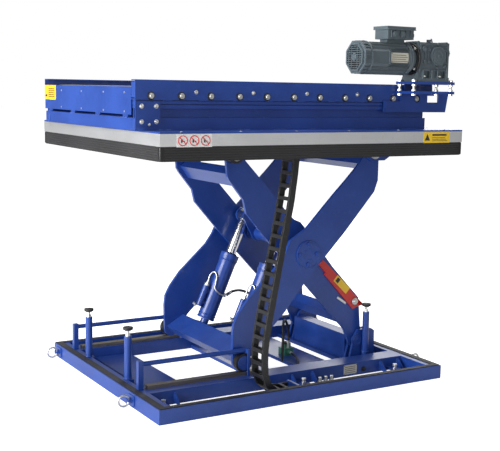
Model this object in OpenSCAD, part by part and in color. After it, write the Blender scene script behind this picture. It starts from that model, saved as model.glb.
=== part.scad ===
// Scissor lift table with a powered roller conveyor on its platform.
// Millimetres, Z up. The origin is the middle of the base frame on the floor, X runs along the long side.

/* [Base] */
// length of the base frame
base_len = 1770; // [1500:10:2400]
// width of the base frame
base_wid = 1470; // [1300:10:2000]
// height of the base rim
rim_h = 75; // [50:1:120]
// width of the two end rims
end_rim_w = 75; // [50:1:120]
// width of the two long rims
side_rim_w = 45; // [30:1:80]
// wall of the rim and beam sections
section_wall = 6; // [3:0.5:12]
// width of a track beam
track_w = 120; // [80:1:160]
// height of the flat bar the lower rollers run on
track_bar_h = 19; // [8:1:30]
// thickness of the rubber strip on the rim
seal_t = 4; // [2:0.5:8]
// diameter of the hold-down rail above the lower rollers
guard_d = 25; // [16:1:32]
// height of the two left buffers
stop_left_z = 356; // [300:1:420]
// height of the two right buffers
stop_right_z = 366; // [300:1:420]

/* [Scissor] */
// distance between the end pivots of one arm
arm_len = 1410; // [1200:10:1800]
// angle of the arms above the floor as drawn
rest_angle = 52.66; // [20:0.01:60]
// thickness of an arm plate
arm_t = 20; // [10:1:30]
// outer face of the outer arms from the scissor's middle plane
outer_arm_y = 433; // [400:1:520]
// outer face of the inner arms from the scissor's middle plane
inner_arm_y = 316; // [280:1:360]
// middle plane of the scissor
scissor_y = 75; // [0:1:100]
// X of the fixed pivots
pivot_x = 636; // [500:1:760]
// height of the lower pivots and roller axles
pivot_z = 144; // [120:1:180]
// rounding of an arm's ends
arm_end_r = 46; // [38:1:60]
// diameter of the end pins and roller axles
end_pin_d = 50; // [30:1:60]
// diameter of the centre pins
centre_pin_d = 60; // [40:1:80]
// width of a roller
roller_w = 42; // [30:1:60]

/* [Hydraulics] */
// distance of each cylinder from the middle plane
cyl_y = 225; // [180:1:230]
// outer diameter of the barrel
barrel_d = 105; // [80:1:120]
// diameter of the piston rod
rod_d = 60; // [40:1:70]
// diameter of the cylinder pins
cyl_pin_d = 44; // [30:1:50]

/* [Platform] */
// length of the platform
plat_len = 1830; // [1500:10:2400]
// width of the platform
plat_wid = 1580; // [1400:10:2000]
// thickness of the platform plate
plate_t = 8; // [6:1:20]
// height of the edge beams
edge_h = 59; // [40:1:100]
// height of the rubber safety edge
bumper_h = 70; // [40:1:90]
// depth of the rubber safety edge
bumper_w = 50; // [30:1:80]
// thickness of the aluminium strip
strip_t = 4; // [2:0.5:8]

/* [Conveyor] */
// number of rollers
roller_n = 11; // [5:1:11]
// distance between rollers
roller_pitch = 160; // [120:5:200]
// diameter of a conveyor roller
conv_roller_d = 89; // [60:1:110]
// diameter of a roller's shaft
shaft_d = 20; // [12:1:30]
// height of the side channels
channel_h = 94; // [80:1:130]
// overall width over the side channels
conv_wid = 1256; // [900:2:1400]
// overall length of the conveyor
conv_len = 1760; // [1000:10:2000]

/* [Drive] */
// diameter of the motor body
motor_d = 166; // [120:2:200]
// length of the motor
motor_len = 300; // [200:5:400]
// side of the gearbox
gearbox_w = 210; // [150:5:260]

/* [Fits] */
// running clearance on a pin, per side
pin_gap = 0.05; // [0.02:0.01:0.1]
// gap between a roller and the surface it rolls on
roll_gap = 0.3; // [0.1:0.05:0.5]
// side gap between plates that pass each other
side_gap = 4; // [2:0.5:8]

/* [Hidden] */
$fn = 64;
blue = [0.14, 0.25, 0.60];
dark = [0.06, 0.06, 0.07];
steel = [0.72, 0.72, 0.70];
grey = [0.36, 0.42, 0.46];
half = arm_len / 2;
centre_x = pivot_x - half * cos(rest_angle);
centre_z = pivot_z + half * sin(rest_angle);
roller_x = pivot_x - arm_len * cos(rest_angle);
top_z = pivot_z + arm_len * sin(rest_angle);
roller_r = pivot_z - rim_h - track_bar_h;
outer_in = outer_arm_y - arm_t;
inner_in = inner_arm_y - arm_t;
roller_y0 = outer_arm_y + 3;
upper_roller_y0 = inner_arm_y + 3;
roller_mid = roller_y0 + roller_w / 2;
track_y0 = outer_in + 7;
upright_x = -base_len / 2 + 58;
strip_in = 43;
lug_out = inner_arm_y + side_gap;
lug_in = inner_in - side_gap;
lug_t = 17;
tie_t = 20;
post_d = 40;
head_d = 54;
foot = [-(half - 91), -68];
head = [130, 70];
eye_w = 64;
clevis_t = 15;
clevis_y = eye_w / 2 + 2;
track_z = top_z + roller_r;
bumper_z = top_z + 11;
beam_z = bumper_z + bumper_h;
plate_z = beam_z + edge_h;
deck_z = plate_z + plate_t;
drop = 912;
conv_x0 = -966;
conv_x1 = conv_x0 + conv_len;
conv_y = conv_wid / 2;
channel_t = 5;
channel_z = deck_z + 145;
axis_z = channel_z + 19;
first_roller_x = conv_x0 + 80;
flange_in = 40;
motor_x0 = 230;
motor_y = -conv_y - 87;
motor_z = deck_z + 375;
box_x0 = motor_x0 + motor_len + 67;
mount_x0 = box_x0 - 35;
mount_x1 = box_x0 + gearbox_w + 43;
mount_z = deck_z + 192;
shaft_x = box_x0 + 128;
chain_y = -600;
chain_w = 120;
chain_t = 38;
chain_path = [[-71, bumper_z + 60], [-80, bumper_z - 50], [-102, bumper_z - 226], [-230, 380],
              [-245, 248], [-238, 130], [-212, 72], [-160, 40], [-110, 35], [-34, 35]];
ties = [[-720, -500], [-80, 80], [250, 470], [560, 780]];

// ---- helpers ----

// a point of an outer arm (u along the arm, v square to it) in world X and Z
function a_world(p) = [centre_x + p[0] * cos(rest_angle) - p[1] * sin(rest_angle),
                       centre_z + p[0] * sin(rest_angle) + p[1] * cos(rest_angle)];
// a point of an inner arm in world X and Z
function b_world(p) = [centre_x - p[0] * cos(rest_angle) + p[1] * sin(rest_angle),
                       centre_z + p[0] * sin(rest_angle) + p[1] * cos(rest_angle)];
function flip(pts) = [for (p = pts) [p[0], -p[1]]];
function unit(v) = v / norm(v);
function square_to(v) = [-v[1], v[0]];
// direction of a path at point i
function path_dir(p, i) = unit(p[min(i + 1, len(p) - 1)] - p[max(i - 1, 0)]);
// outline of a band of width w along a path
function band(p, w) = concat([for (i = [0 : len(p) - 1]) p[i] + square_to(path_dir(p, i)) * w / 2],
                             [for (i = [len(p) - 1 : -1 : 0]) p[i] - square_to(path_dir(p, i)) * w / 2]);

// a flat shape drawn in X and Z, t thick from y0 towards +Y
module plate_xz(y0, t) {
    translate([0, y0 + t, 0])
        rotate([90, 0, 0])
            linear_extrude(t)
                children();
}

// a round bar along Y at p = [x, z]
module bar_y(p, y0, y1, d) {
    translate([p[0], y0, p[1]])
        rotate([-90, 0, 0])
            cylinder(h = y1 - y0, d = d);
}

module block(lo, hi) {
    translate(lo)
        cube(hi - lo);
}

// the child and its mirror image in the scissor's middle plane
module both_sides() {
    translate([0, scissor_y, 0]) {
        children();
        mirror([0, 1, 0])
            children();
    }
}

// local frame of the outer arms and of the inner arms
module on_outer() {
    translate([centre_x, 0, centre_z])
        rotate([0, -rest_angle, 0])
            children();
}

module on_inner() {
    translate([centre_x, 0, centre_z])
        rotate([0, rest_angle - 180, 0])
            children();
}

// a rectangular ring, outer size l by w, rail widths a along the ends and b along the sides
module ring(l, w, a, b, z0, z1) {
    translate([0, 0, z0])
        linear_extrude(z1 - z0)
            difference() {
                square([l, w], center = true);
                square([l - 2 * a, w - 2 * b], center = true);
            }
}

// a hollow box section between two corners, open at both ends along X or Y
module tube_x(lo, hi, wall) {
    difference() {
        block(lo, hi);
        block(lo + [-1, wall, wall], hi + [1, -wall, -wall]);
    }
}

module tube_y(lo, hi, wall) {
    difference() {
        block(lo, hi);
        block(lo + [wall, -1, wall], hi + [-wall, 1, -wall]);
    }
}

// ---- base ----

module base_rim() {
    wall = section_wall;
    color(blue)
        difference() {
            ring(base_len, base_wid, end_rim_w, side_rim_w, 0, rim_h);
            ring(base_len - 2 * wall, base_wid - 2 * wall, end_rim_w - 2 * wall, side_rim_w - 2 * wall,
                 wall, rim_h - wall);
            for (x = [-1, 1], y = [-1, 1])
                translate([x * (base_len - end_rim_w) / 2, y * base_wid / 4, -1])
                    cylinder(h = wall + 2, d = 14);
        }
}

module gusset(x) {
    translate([x, scissor_y - track_y0 - track_w, 0])
        rotate([90, 0, -90])
            linear_extrude(8, center = true)
                polygon([[0, 8], [0, 62], [12, 62], [60, 16], [60, 8]]);
}

module track_beams() {
    x1 = base_len / 2 - end_rim_w;
    front = scissor_y - track_y0 - track_w;
    color(blue) {
        both_sides()
            tube_x([-x1, track_y0, 0], [x1, track_y0 + track_w, rim_h], section_wall);
        for (x = [-670, 48, 183, 660, 785])
            gusset(x);
        for (x = bolt_x())
            difference() {
                block([x - 28, front - 80, 14], [x + 28, front, 24]);
                translate([x, front - 55, 0])
                    cylinder(h = 40, d = 16.2);
            }
        block([-140, chain_y - 60, 6], [-20, front, 16]);
        block([-34, chain_y - 60, 16], [-20, chain_y + 60, 62]);
    }
}

function bolt_x() = [-760, 92, 725];

module lug_plate(y0) {
    plate_xz(y0, lug_t)
        difference() {
            polygon([[pivot_x - 52, tie_t], [pivot_x - 40, 60], [pivot_x - 12, 176], [pivot_x + 10, 205],
                     [pivot_x + 106, 205], [pivot_x + 130, 190], [pivot_x + 133, tie_t]]);
            translate([pivot_x, pivot_z])
                circle(d = end_pin_d);
        }
}

module cross_members() {
    y0 = scissor_y - track_y0;
    y1 = scissor_y + track_y0;
    color(blue) {
        for (t = ties)
            block([t[0], y0, 0], [t[1], y1, tie_t]);
        both_sides() {
            lug_plate(lug_out);
            lug_plate(lug_in - lug_t);
            block([666, lug_out + lug_t, tie_t], [700, lug_out + lug_t + 50, 40]);
        }
        difference() {
            block([pivot_x - 42, scissor_y - lug_in + lug_t, tie_t],
                  [pivot_x + 42, scissor_y + lug_in - lug_t, 168]);
            block([pivot_x - 34, scissor_y - lug_in, tie_t + 8],
                  [pivot_x + 34, scissor_y + lug_in, 160]);
        }
        for (p = left_posts())
            block([-base_len / 2 + end_rim_w, p[1] - 28, 0], [p[0] + 24, p[1] + 28, rim_h]);
    }
}

// the rim's rubber strip, with butt joints at the corners
module rim_seal() {
    color(dark)
        difference() {
            ring(base_len - 14, base_wid - 10, strip_in - 7, 30, rim_h, rim_h + seal_t);
            for (p = left_posts())
                translate([p[0], p[1], rim_h - 1])
                    cylinder(h = seal_t + 2, d = post_d + 1);
        }
}

module track_bars() {
    color(steel)
        both_sides()
            block([-790, roller_mid - roller_w / 2 + 1, rim_h], [-150, roller_mid + roller_w / 2 - 1,
                  rim_h + track_bar_h]);
}

module guard_rails() {
    z = pivot_z + roller_r + guard_d / 2 + 3;
    x1 = -200;
    color(blue)
        both_sides() {
            translate([upright_x, roller_mid, z])
                rotate([0, 90, 0])
                    cylinder(h = x1 - upright_x, d = guard_d);
            block([upright_x - 14, roller_mid - 14, rim_h], [upright_x + 14, roller_mid + 14, z + 18]);
            block([x1 - 6, roller_mid + 28, rim_h], [x1 + 6, roller_mid + 38, z + 12]);
            block([x1 - 6, roller_mid, z - 12], [x1 + 6, roller_mid + 38, z + 12]);
        }
}

function left_posts() = [[-800, -169], [-818, 341]];
function right_posts() = [[682, scissor_y - 363], [682, scissor_y + 363]];

module stop_posts() {
    color(blue) {
        for (p = left_posts())
            translate([p[0], p[1], rim_h])
                difference() {
                    cylinder(h = stop_left_z - 48 - rim_h, d = post_d);
                    translate([0, 0, 40])
                        cylinder(h = 400, d = 16);
                }
        for (p = right_posts())
            translate([p[0], p[1], 40])
                difference() {
                    cylinder(h = stop_right_z - 48 - 40, d = post_d);
                    translate([0, 0, 40])
                        cylinder(h = 400, d = 16);
                }
    }
}

module each_stop() {
    for (p = left_posts())
        translate([p[0], p[1], stop_left_z])
            children();
    for (p = right_posts())
        translate([p[0], p[1], stop_right_z])
            children();
}

module stop_studs() {
    color(steel)
        each_stop() {
            translate([0, 0, -110])
                cylinder(h = 92, d = 16);
            translate([0, 0, -48])
                cylinder(h = 13, d = 27, $fn = 6);
        }
}

module stop_buffers() {
    color(dark)
        each_stop() {
            translate([0, 0, -12])
                cylinder(h = 12, d = head_d);
            translate([0, 0, -18])
                cylinder(h = 6, d1 = head_d - 18, d2 = head_d);
        }
}

module levelling_bolts() {
    front = scissor_y - track_y0 - track_w;
    color(steel)
        for (x = bolt_x())
            translate([x, front - 55, 0]) {
                cylinder(h = 40, d = 16);
                translate([0, 0, 40])
                    cylinder(h = 10, d = 27, $fn = 6);
                translate([0, 0, 24])
                    cylinder(h = 8, d = 26);
            }
}

module valve_block() {
    color([0.2, 0.45, 0.35]) {
        block([305, 10, tie_t], [365, 80, 62]);
        translate([325, 47, 62])
            cylinder(h = 22, d = 26);
        translate([350, 30, 62])
            cylinder(h = 30, d = 18);
        translate([335, 10, 42])
            rotate([90, 0, 0])
                cylinder(h = 18, d = 24, $fn = 6);
    }
}

function lug_spots() = [[-1, -410], [-1, 650], [1, -450], [1, 610]];

module lifting_lugs() {
    color(blue)
        for (q = lug_spots())
            translate([q[0] * base_len / 2, q[1], 38])
                mirror([q[0] < 0 ? 1 : 0, 0, 0])
                    difference() {
                        union() {
                            block([0, -24, -7], [12, 24, 7]);
                            translate([15.1, 0, -7])
                                cylinder(h = 14, d = 30);
                            block([0, -36, -26], [5, 36, 26]);
                        }
                        translate([15, 0, -8])
                            cylinder(h = 16, d = 15);
                    }
}

// a round steel ring that hangs in a lug's hole
module lifting_ring(i) {
    q = lug_spots()[i];
    color(steel)
        translate([q[0] * (base_len / 2 + 15), q[1], 38])
            translate([q[0] * 29, 0, 0])
                rotate([90, 0, 0])
                    rotate_extrude()
                        translate([29, 0])
                            circle(d = 11);
}

module base_pivot_pins() {
    color(steel)
        both_sides() {
            bar_y([pivot_x, pivot_z], lug_in - lug_t, lug_out + lug_t + 5, end_pin_d);
            bar_y([pivot_x, pivot_z], lug_out + lug_t, lug_out + lug_t + 6, end_pin_d + 24);
        }
}

// ---- scissor ----

// outline of an outer arm, u along the arm from its middle, v towards the upper left
outer_outline = [
    [half + 28, -36], [half - 99, -132], [half - 166, -153], [0.345 * half, -130], [0.075 * half, -106],
    [-0.176 * half, -84], [-0.5 * half, -74], [-half + 128, -38], [-half, -arm_end_r], [-half - 28, 36],
    [-half + 88, 130], [-half + 140, 161], [-half + 207, 172], [-0.557 * half, 170], [-0.22 * half, 126],
    [-0.112 * half, 128], [-0.007 * half, 144], [0.044 * half, 130], [0.15 * half, 100], [0.512 * half, 67],
    [0.675 * half, 49], [half - 128, 36], [half, 34]];
// outline of an inner arm, u towards its top end, v towards the upper right
inner_outline = [
    [half + 28, -36], [half - 46, -77], [half - 79, -98], [half - 107, -101], [0.651 * half, -96],
    [0.549 * half, -126], [0.26 * half, -111], [-0.27 * half, -69], [-0.637 * half, -39],
    [-half + 104, -20], [-half, -arm_end_r], [-half - 28, 36], [-half + 103, 117], [-half + 181, 165],
    [-half + 195, 168], [-0.346 * half, 136], [0.091 * half, 123], [0.169 * half, 118],
    [0.224 * half, 95], [0.284 * half, 85], [0.691 * half, 58], [half - 79, 42], [half, 36]];

// one arm plate with its three bores
module arm_plate(pts, y0, end_d, mid_d) {
    plate_xz(y0, arm_t)
        difference() {
            union() {
                polygon(pts);
                for (u = [-half, half])
                    translate([u, 0])
                        circle(r = arm_end_r);
            }
            for (u = [-half, half])
                translate([u, 0])
                    circle(d = u < 0 ? end_d[0] : end_d[1]);
            circle(d = mid_d);
        }
}

module inner_arms() {
    run = end_pin_d + 2 * pin_gap;
    color(blue)
        both_sides()
            on_inner()
                arm_plate(flip(inner_outline), inner_in, [run, end_pin_d], centre_pin_d + 2 * pin_gap);
}

module outer_arms() {
    run = end_pin_d + 2 * pin_gap;
    color(blue)
        both_sides()
            on_outer()
                arm_plate(outer_outline, outer_in, [end_pin_d, run], centre_pin_d);
}

// lug that carries a rod end, drawn in the inner arms' frame
module head_lug(y0) {
    plate_xz(y0, clevis_t) {
        polygon([[0, -112], [head[0], -head[1] - 42], [head[0], -head[1] + 42], [0, -8]]);
        translate([0, -60])
            circle(r = 52);
        translate([head[0], -head[1]])
            circle(r = 42);
    }
}

module inner_crossmembers() {
    w = inner_in;
    color(blue)
        translate([0, scissor_y, 0])
            on_inner() {
                bar_y([0, -60], -w, w, 80);
                for (s = [-1, 1], k = [-1, 1])
                    head_lug(s * cyl_y + (k > 0 ? clevis_y : -clevis_y - clevis_t));
                tube_y([0.82 * half - 45, -w, 15], [0.82 * half + 45, w, 75], 8);
                tube_y([-0.73 * half - 40, -w, -40], [-0.73 * half + 40, w, 20], 8);
                bar_y([strut_p[0], -strut_p[1]], -inner_arm_y - 20, -inner_arm_y, 20);
                bar_y([strut_p[0], -strut_p[1]], -inner_arm_y - 20, -inner_arm_y - 13.4, 38);
            }
}

strut_p = [-half + 197, 128];

// locking strut used for maintenance, folded along the front inner arm
module maintenance_strut() {
    color([0.75, 0.10, 0.08])
        translate([0, scissor_y, 0])
            on_inner()
                plate_xz(-inner_arm_y - 13, 12.6)
                    difference() {
                        polygon([[strut_p[0] - 62, -168], [strut_p[0] - 40, -124], [strut_p[0] - 30, -92],
                                 [strut_p[0] + 270, -62], [strut_p[0] + 278, -72], [strut_p[0] + 350, -66],
                                 [strut_p[0] + 352, -104], [strut_p[0] + 270, -118],
                                 [strut_p[0] - 20, -160]]);
                        translate([strut_p[0], -strut_p[1]])
                            circle(d = 20 + 2 * pin_gap);
                    }
}

module foot_lug(y0) {
    plate_xz(y0, clevis_t)
        difference() {
            union() {
                translate(foot)
                    circle(r = 36);
                polygon([foot + [-64, 26], foot + [-20, 62], foot + [22, 50], foot + [33, 14],
                         foot + [-10, -34]]);
            }
            translate(foot)
                circle(d = cyl_pin_d);
        }
}

module outer_crossbeams() {
    w = outer_in;
    color(blue)
        translate([0, scissor_y, 0])
            on_outer() {
                plate_xz(-w, 2 * w)
                    polygon([[-half - 4, 38], foot + [21, 56], foot + [-51, 16], [-half - 17, -40]]);
                for (s = [-1, 1], k = [-1, 1])
                    foot_lug(s * cyl_y + (k > 0 ? clevis_y : -clevis_y - clevis_t));
                for (s = [-1, 1])
                    bar_y(foot, s * cyl_y - clevis_y - clevis_t - 6, s * cyl_y + clevis_y + clevis_t + 6,
                          cyl_pin_d);
                tube_y([half - 102, -w, -26], [half - 52, w, 34], 8);
            }
}

module centre_pins() {
    c = [centre_x, centre_z];
    color(blue)
        both_sides() {
            bar_y(c, inner_in + 1, outer_arm_y + 8, centre_pin_d);
            bar_y(c, outer_arm_y, outer_arm_y + 8, 156);
            bar_y(c, inner_arm_y + 2, outer_in, centre_pin_d + 44);
            for (a = [0 : 90 : 270])
                bar_y(c + 57 * [cos(a), sin(a)], outer_arm_y + 8, outer_arm_y + 18, 24);
        }
}

module lower_roller_axles() {
    p = [roller_x, pivot_z];
    color(steel)
        both_sides() {
            bar_y(p, outer_in, roller_y0 + roller_w, end_pin_d);
            bar_y(p, roller_y0 + roller_w, roller_y0 + roller_w + 5, end_pin_d + 28);
        }
}

module upper_roller_axles() {
    p = [roller_x, top_z];
    color(steel)
        both_sides() {
            bar_y(p, inner_in - 8, upper_roller_y0 + roller_w, end_pin_d);
            bar_y(p, upper_roller_y0 + roller_w, upper_roller_y0 + roller_w + 5, end_pin_d + 20);
            bar_y(p, inner_in - 8, inner_in, end_pin_d + 24);
        }
}

// one track roller, s = -1 at the front and 1 at the rear
module track_roller(z, y0, s) {
    color(dark)
        translate([0, scissor_y, 0])
            mirror([0, s < 0 ? 1 : 0, 0])
                difference() {
                    union() {
                        bar_y([roller_x, z], y0 + 3, y0 + roller_w - 3, 2 * (roller_r - roll_gap));
                        bar_y([roller_x, z], y0 + 0.3, y0 + roller_w - 0.3, 2 * roller_r - 14);
                    }
                    bar_y([roller_x, z], y0 - 1, y0 + roller_w + 1, end_pin_d + 2 * pin_gap);
                }
}

// ---- hydraulics ----

// a cylinder's own frame: origin at its foot pin, Z along the rod
module on_cylinder(s) {
    p = a_world(foot);
    q = b_world(head);
    translate([p[0], scissor_y + s * cyl_y, p[1]])
        rotate([0, atan2(q[0] - p[0], q[1] - p[1]), 0])
            children();
}

stroke_len = norm(b_world(head) - a_world(foot));
gland_z = 481;
piston_d = barrel_d - 19;

module cylinder_barrel(s) {
    color(blue)
        on_cylinder(s)
            difference() {
                union() {
                    bar_y([0, 0], -eye_w / 2, eye_w / 2, 68);
                    cylinder(h = 62, d = 50);
                    translate([0, 0, 60])
                        cylinder(h = gland_z - 60, d = barrel_d);
                    translate([0, 0, gland_z - 40])
                        cylinder(h = 40, d = barrel_d + 8);
                    translate([-barrel_d / 2 - 23, 0, 120])
                        cylinder(h = 130, d = 40);
                    block([-barrel_d / 2 - 23, -12, 140], [-barrel_d / 2 + 8, 12, 160]);
                    block([-barrel_d / 2 - 23, -12, 210], [-barrel_d / 2 + 8, 12, 230]);
                }
                bar_y([0, 0], -eye_w, eye_w, cyl_pin_d + 2 * pin_gap);
                translate([0, 0, 80])
                    cylinder(h = gland_z - 120, d = piston_d + 2 * pin_gap);
                translate([0, 0, gland_z - 60])
                    cylinder(h = 80, d = rod_d + 2 * pin_gap);
            }
}

module cylinder_rod(s) {
    color(steel)
        on_cylinder(s) {
            translate([0, 0, 330])
                cylinder(h = stroke_len - 330 - 20, d = rod_d);
            translate([0, 0, 300])
                cylinder(h = 40, d = piston_d);
            difference() {
                bar_y([0, stroke_len], -eye_w / 2, eye_w / 2, 76);
                bar_y([0, stroke_len], -eye_w, eye_w, cyl_pin_d);
            }
            bar_y([0, stroke_len], -eye_w / 2 - 1, eye_w / 2 + 1, cyl_pin_d);
        }
}

// ---- energy chain ----

module energy_chain() {
    color(dark)
        plate_xz(chain_y - chain_w / 2, chain_w)
            polygon(band(chain_path, chain_t));
}

// ---- platform ----

module platform_plate() {
    color(blue)
        translate([-plat_len / 2, -plat_wid / 2, plate_z])
            cube([plat_len, plat_wid, plate_t]);
}

module pivot_bracket() {
    y0 = outer_arm_y + side_gap;
    plate_xz(y0, 20)
        difference() {
            union() {
                translate([pivot_x, top_z])
                    circle(d = end_pin_d + 50);
                polygon([[pivot_x - 70, plate_z], [pivot_x - 50, top_z], [pivot_x - 20, top_z - 44],
                         [pivot_x + 70, top_z - 44], [pivot_x + 110, top_z - 20], [pivot_x + 120, plate_z]]);
            }
            translate([pivot_x, top_z])
                circle(d = end_pin_d);
        }
}

module platform_frame() {
    l = plat_len - 2 * strip_t;
    w = plat_wid - 2 * strip_t;
    in = 60;
    y1 = w / 2 - in;
    t0 = upper_roller_y0 + 14;
    t1 = upper_roller_y0 + 30;
    color(blue) {
        difference() {
            ring(l, w, in, in, beam_z, plate_z);
            ring(l - 12, w - 12, in - 12, in - 12, beam_z + 6, plate_z - 6);
            for (x = [-1, 1], y = [-1, 1])
                translate([x * (l / 2 - in / 2), y * w / 4, beam_z - 1])
                    cylinder(h = 9, d = 14);
        }
        for (x = [-600, -200, 200]) {
            block([x - 8, scissor_y - t0, beam_z], [x + 8, scissor_y + t0, plate_z]);
            block([x - 8, scissor_y + t1, beam_z], [x + 8, y1, plate_z]);
            block([x - 8, -y1, beam_z], [x + 8, scissor_y - t1, plate_z]);
        }
        block([612, -y1, beam_z], [628, y1, plate_z]);
        both_sides()
            pivot_bracket();
        for (p = left_posts())
            block([p[0] - 22, p[1] - 22, stop_left_z + drop + 1], [p[0] + 22, p[1] + 22, plate_z]);
        for (p = right_posts())
            block([p[0] - 24, p[1] - 24, stop_right_z + drop + 1], [p[0] + 24, p[1] + 24, plate_z]);
        block([-52, chain_y - 70, bumper_z + 10], [-42, chain_y + 70, plate_z]);
    }
}

module top_tracks() {
    y0 = upper_roller_y0;
    color(blue)
        both_sides() {
            block([-plat_len / 2 + strip_t + 60, y0, track_z], [500, y0 + roller_w + 2, track_z + 12]);
            block([-plat_len / 2 + strip_t + 60, y0 + 14, track_z + 12], [500, y0 + 30, plate_z]);
        }
}

module safety_bumper() {
    r = 24;
    color(dark)
        difference() {
            translate([0, 0, bumper_z])
                linear_extrude(bumper_h)
                    difference() {
                        union() {
                            square([plat_len - 2 * r, plat_wid], center = true);
                            square([plat_len, plat_wid - 2 * r], center = true);
                            for (x = [-1, 1], y = [-1, 1])
                                translate([x * (plat_len / 2 - r), y * (plat_wid / 2 - r)])
                                    circle(r = r);
                        }
                        square([plat_len - 2 * bumper_w, plat_wid - 2 * bumper_w], center = true);
                    }
        }
}

module edge_strip() {
    color([0.8, 0.8, 0.82])
        ring(plat_len, plat_wid, strip_t, strip_t, beam_z, plate_z);
}

module top_pivot_pins() {
    color(steel)
        both_sides() {
            bar_y([pivot_x, top_z], outer_in - 5, outer_arm_y + side_gap + 20, end_pin_d);
            bar_y([pivot_x, top_z], outer_arm_y + side_gap + 20, outer_arm_y + side_gap + 26, end_pin_d + 20);
        }
}

// ---- conveyor ----

// one long side of the subframe: a box beam, a recessed web and two flanges under the channel
module subframe_side() {
    x0 = conv_x0 + 6;
    x1 = conv_x1 - 4;
    y0 = -conv_y + 8;
    y1 = y0 + 36;
    tube_x([x0, y0, deck_z], [x1, y0 + 60, deck_z + 59], 5);
    block([x0, y0 + 20, deck_z + 59], [x1, y0 + 28, deck_z + 104]);
    block([x0, y0 - 2, deck_z + 104], [x1, y1, deck_z + 121]);
    block([x0, y0 + 10, deck_z + 121], [x1, y1, deck_z + 126]);
    block([x0, y0 - 2, deck_z + 126], [x1, y1, deck_z + 139]);
    block([x0, y0 + 6, deck_z + 139], [x1, y1, channel_z]);
}

module conveyor_subframe() {
    y1 = conv_y - 68;
    y2 = conv_y - flange_in - channel_t;
    color(blue) {
        subframe_side();
        mirror([0, 1, 0])
            subframe_side();
        for (x = [conv_x0 + 6, -330, 280, conv_x1 - 64])
            tube_y([x, -y1, deck_z], [x + 60, y1, deck_z + 59], 5);
        block([conv_x0, -y2 + 3, deck_z + 73], [conv_x0 + 6, y2, axis_z + 41]);
        block([conv_x0, y2, deck_z + 73], [conv_x0 + 6, conv_y - 6, channel_z]);
        for (y = [-500, -150, 200, 550])
            block([conv_x0 + 6, y - 30, deck_z + 59], [conv_x0 + 14, y + 30, deck_z + 90]);
    }
}

module side_channel() {
    difference() {
        block([conv_x0, -conv_y, channel_z], [conv_x1, -conv_y + flange_in + channel_t,
              channel_z + channel_h]);
        block([conv_x0 - 1, -conv_y + channel_t, channel_z + channel_t],
              [conv_x1 + 1, -conv_y + flange_in + channel_t + 1, channel_z + channel_h - channel_t]);
        for (i = [0 : roller_n - 1])
            bar_y([first_roller_x + i * roller_pitch, axis_z], -conv_y - 1, -conv_y + channel_t + 1, shaft_d);
    }
}

module side_channels() {
    color(blue) {
        side_channel();
        mirror([0, 1, 0])
            side_channel();
        block([conv_x0, -conv_y + channel_t, channel_z + 10], [conv_x0 + 5, -conv_y + 45,
              channel_z + channel_h - 10]);
        block([conv_x0, -conv_y - 2, deck_z + 24], [conv_x0 + 128, -conv_y + 6, deck_z + 137]);
    }
}

module roller_shafts() {
    color(steel)
        for (i = [0 : roller_n - 1], s = [0, 1])
            mirror([0, s, 0]) {
                p = [first_roller_x + i * roller_pitch, axis_z];
                bar_y(p, -conv_y, 0, shaft_d);
                bar_y(p, -conv_y - 9, -conv_y, 27);
            }
}

module conveyor_roller(i) {
    p = [first_roller_x + i * roller_pitch, axis_z];
    w = conv_y - channel_t - flange_in - side_gap;
    color(steel)
        difference() {
            bar_y(p, -w, w, conv_roller_d);
            bar_y(p, -w + 8, w - 8, conv_roller_d - 8);
            bar_y(p, -w - 1, w + 1, shaft_d + 2 * pin_gap);
        }
}

// ---- drive ----

module octagon_x(x0, x1, d) {
    translate([x0, motor_y, motor_z])
        rotate([0, 90, 0])
            rotate([0, 0, 22.5])
                cylinder(h = x1 - x0, d = d, $fn = 8);
}

module bar_x(x0, x1, d) {
    translate([x0, motor_y, motor_z])
        rotate([0, 90, 0])
            cylinder(h = x1 - x0, d = d);
}

module motor_housing() {
    x0 = motor_x0;
    x1 = motor_x0 + motor_len;
    color(grey) {
        octagon_x(x0, x0 + 10, motor_d - 26);
        octagon_x(x0 + 10, x0 + 46, motor_d + 6);
        bar_x(x0 + 44, x0 + 54, motor_d + 8);
        octagon_x(x0 + 50, x1, motor_d + 2);
        bar_x(x1 - 2, x1 + 22, motor_d + 4);
        bar_x(x1 + 20, box_x0, motor_d - 34);
    }
}

module terminal_box() {
    x0 = motor_x0 + 165;
    z0 = motor_z + (motor_d / 2 + 1) * cos(22.5);
    color(grey) {
        block([x0 + 14, motor_y - 30, z0], [x0 + 128, motor_y + 30, z0 + 20]);
        block([x0, motor_y - 55, z0 + 20], [x0 + 170, motor_y + 55, z0 + 76]);
        block([x0 - 8, motor_y - 61, z0 + 70], [x0 + 178, motor_y + 61, z0 + 86]);
        for (x = [x0 + 40, x0 + 92])
            translate([x, motor_y - 55, z0 + 44])
                rotate([90, 0, 0])
                    cylinder(h = 10, d = 34);
    }
}

module gearbox() {
    x0 = box_x0;
    x1 = box_x0 + gearbox_w;
    z0 = mount_z + 64;
    z1 = motor_z + 88;
    color(grey)
        difference() {
            union() {
                block([x0, motor_y - 62, z0 + 14], [x1, motor_y + 65, z1]);
                block([x0 - 4, motor_y - 65, z0], [x1 + 4, motor_y + 65, z0 + 24]);
                bar_y([shaft_x, motor_z + 18], motor_y - 76, motor_y - 62, 100);
                block([x1, motor_y - 50, motor_z + 20], [x1 + 14, motor_y - 30, motor_z + 50]);
                block([x1, motor_y + 10, motor_z + 20], [x1 + 14, motor_y + 40, motor_z + 50]);
                translate([shaft_x - 10, motor_y, z1])
                    cylinder(h = 18, d = 24);
            }
            for (x = [x0 + 26, x1 - 78])
                block([x, motor_y - 70, z0 + 20], [x + 52, motor_y - 48, z0 + 56]);
            bar_y([shaft_x, motor_z + 18], motor_y + 30, motor_y + 70, 36 + 2 * pin_gap);
        }
}

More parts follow.
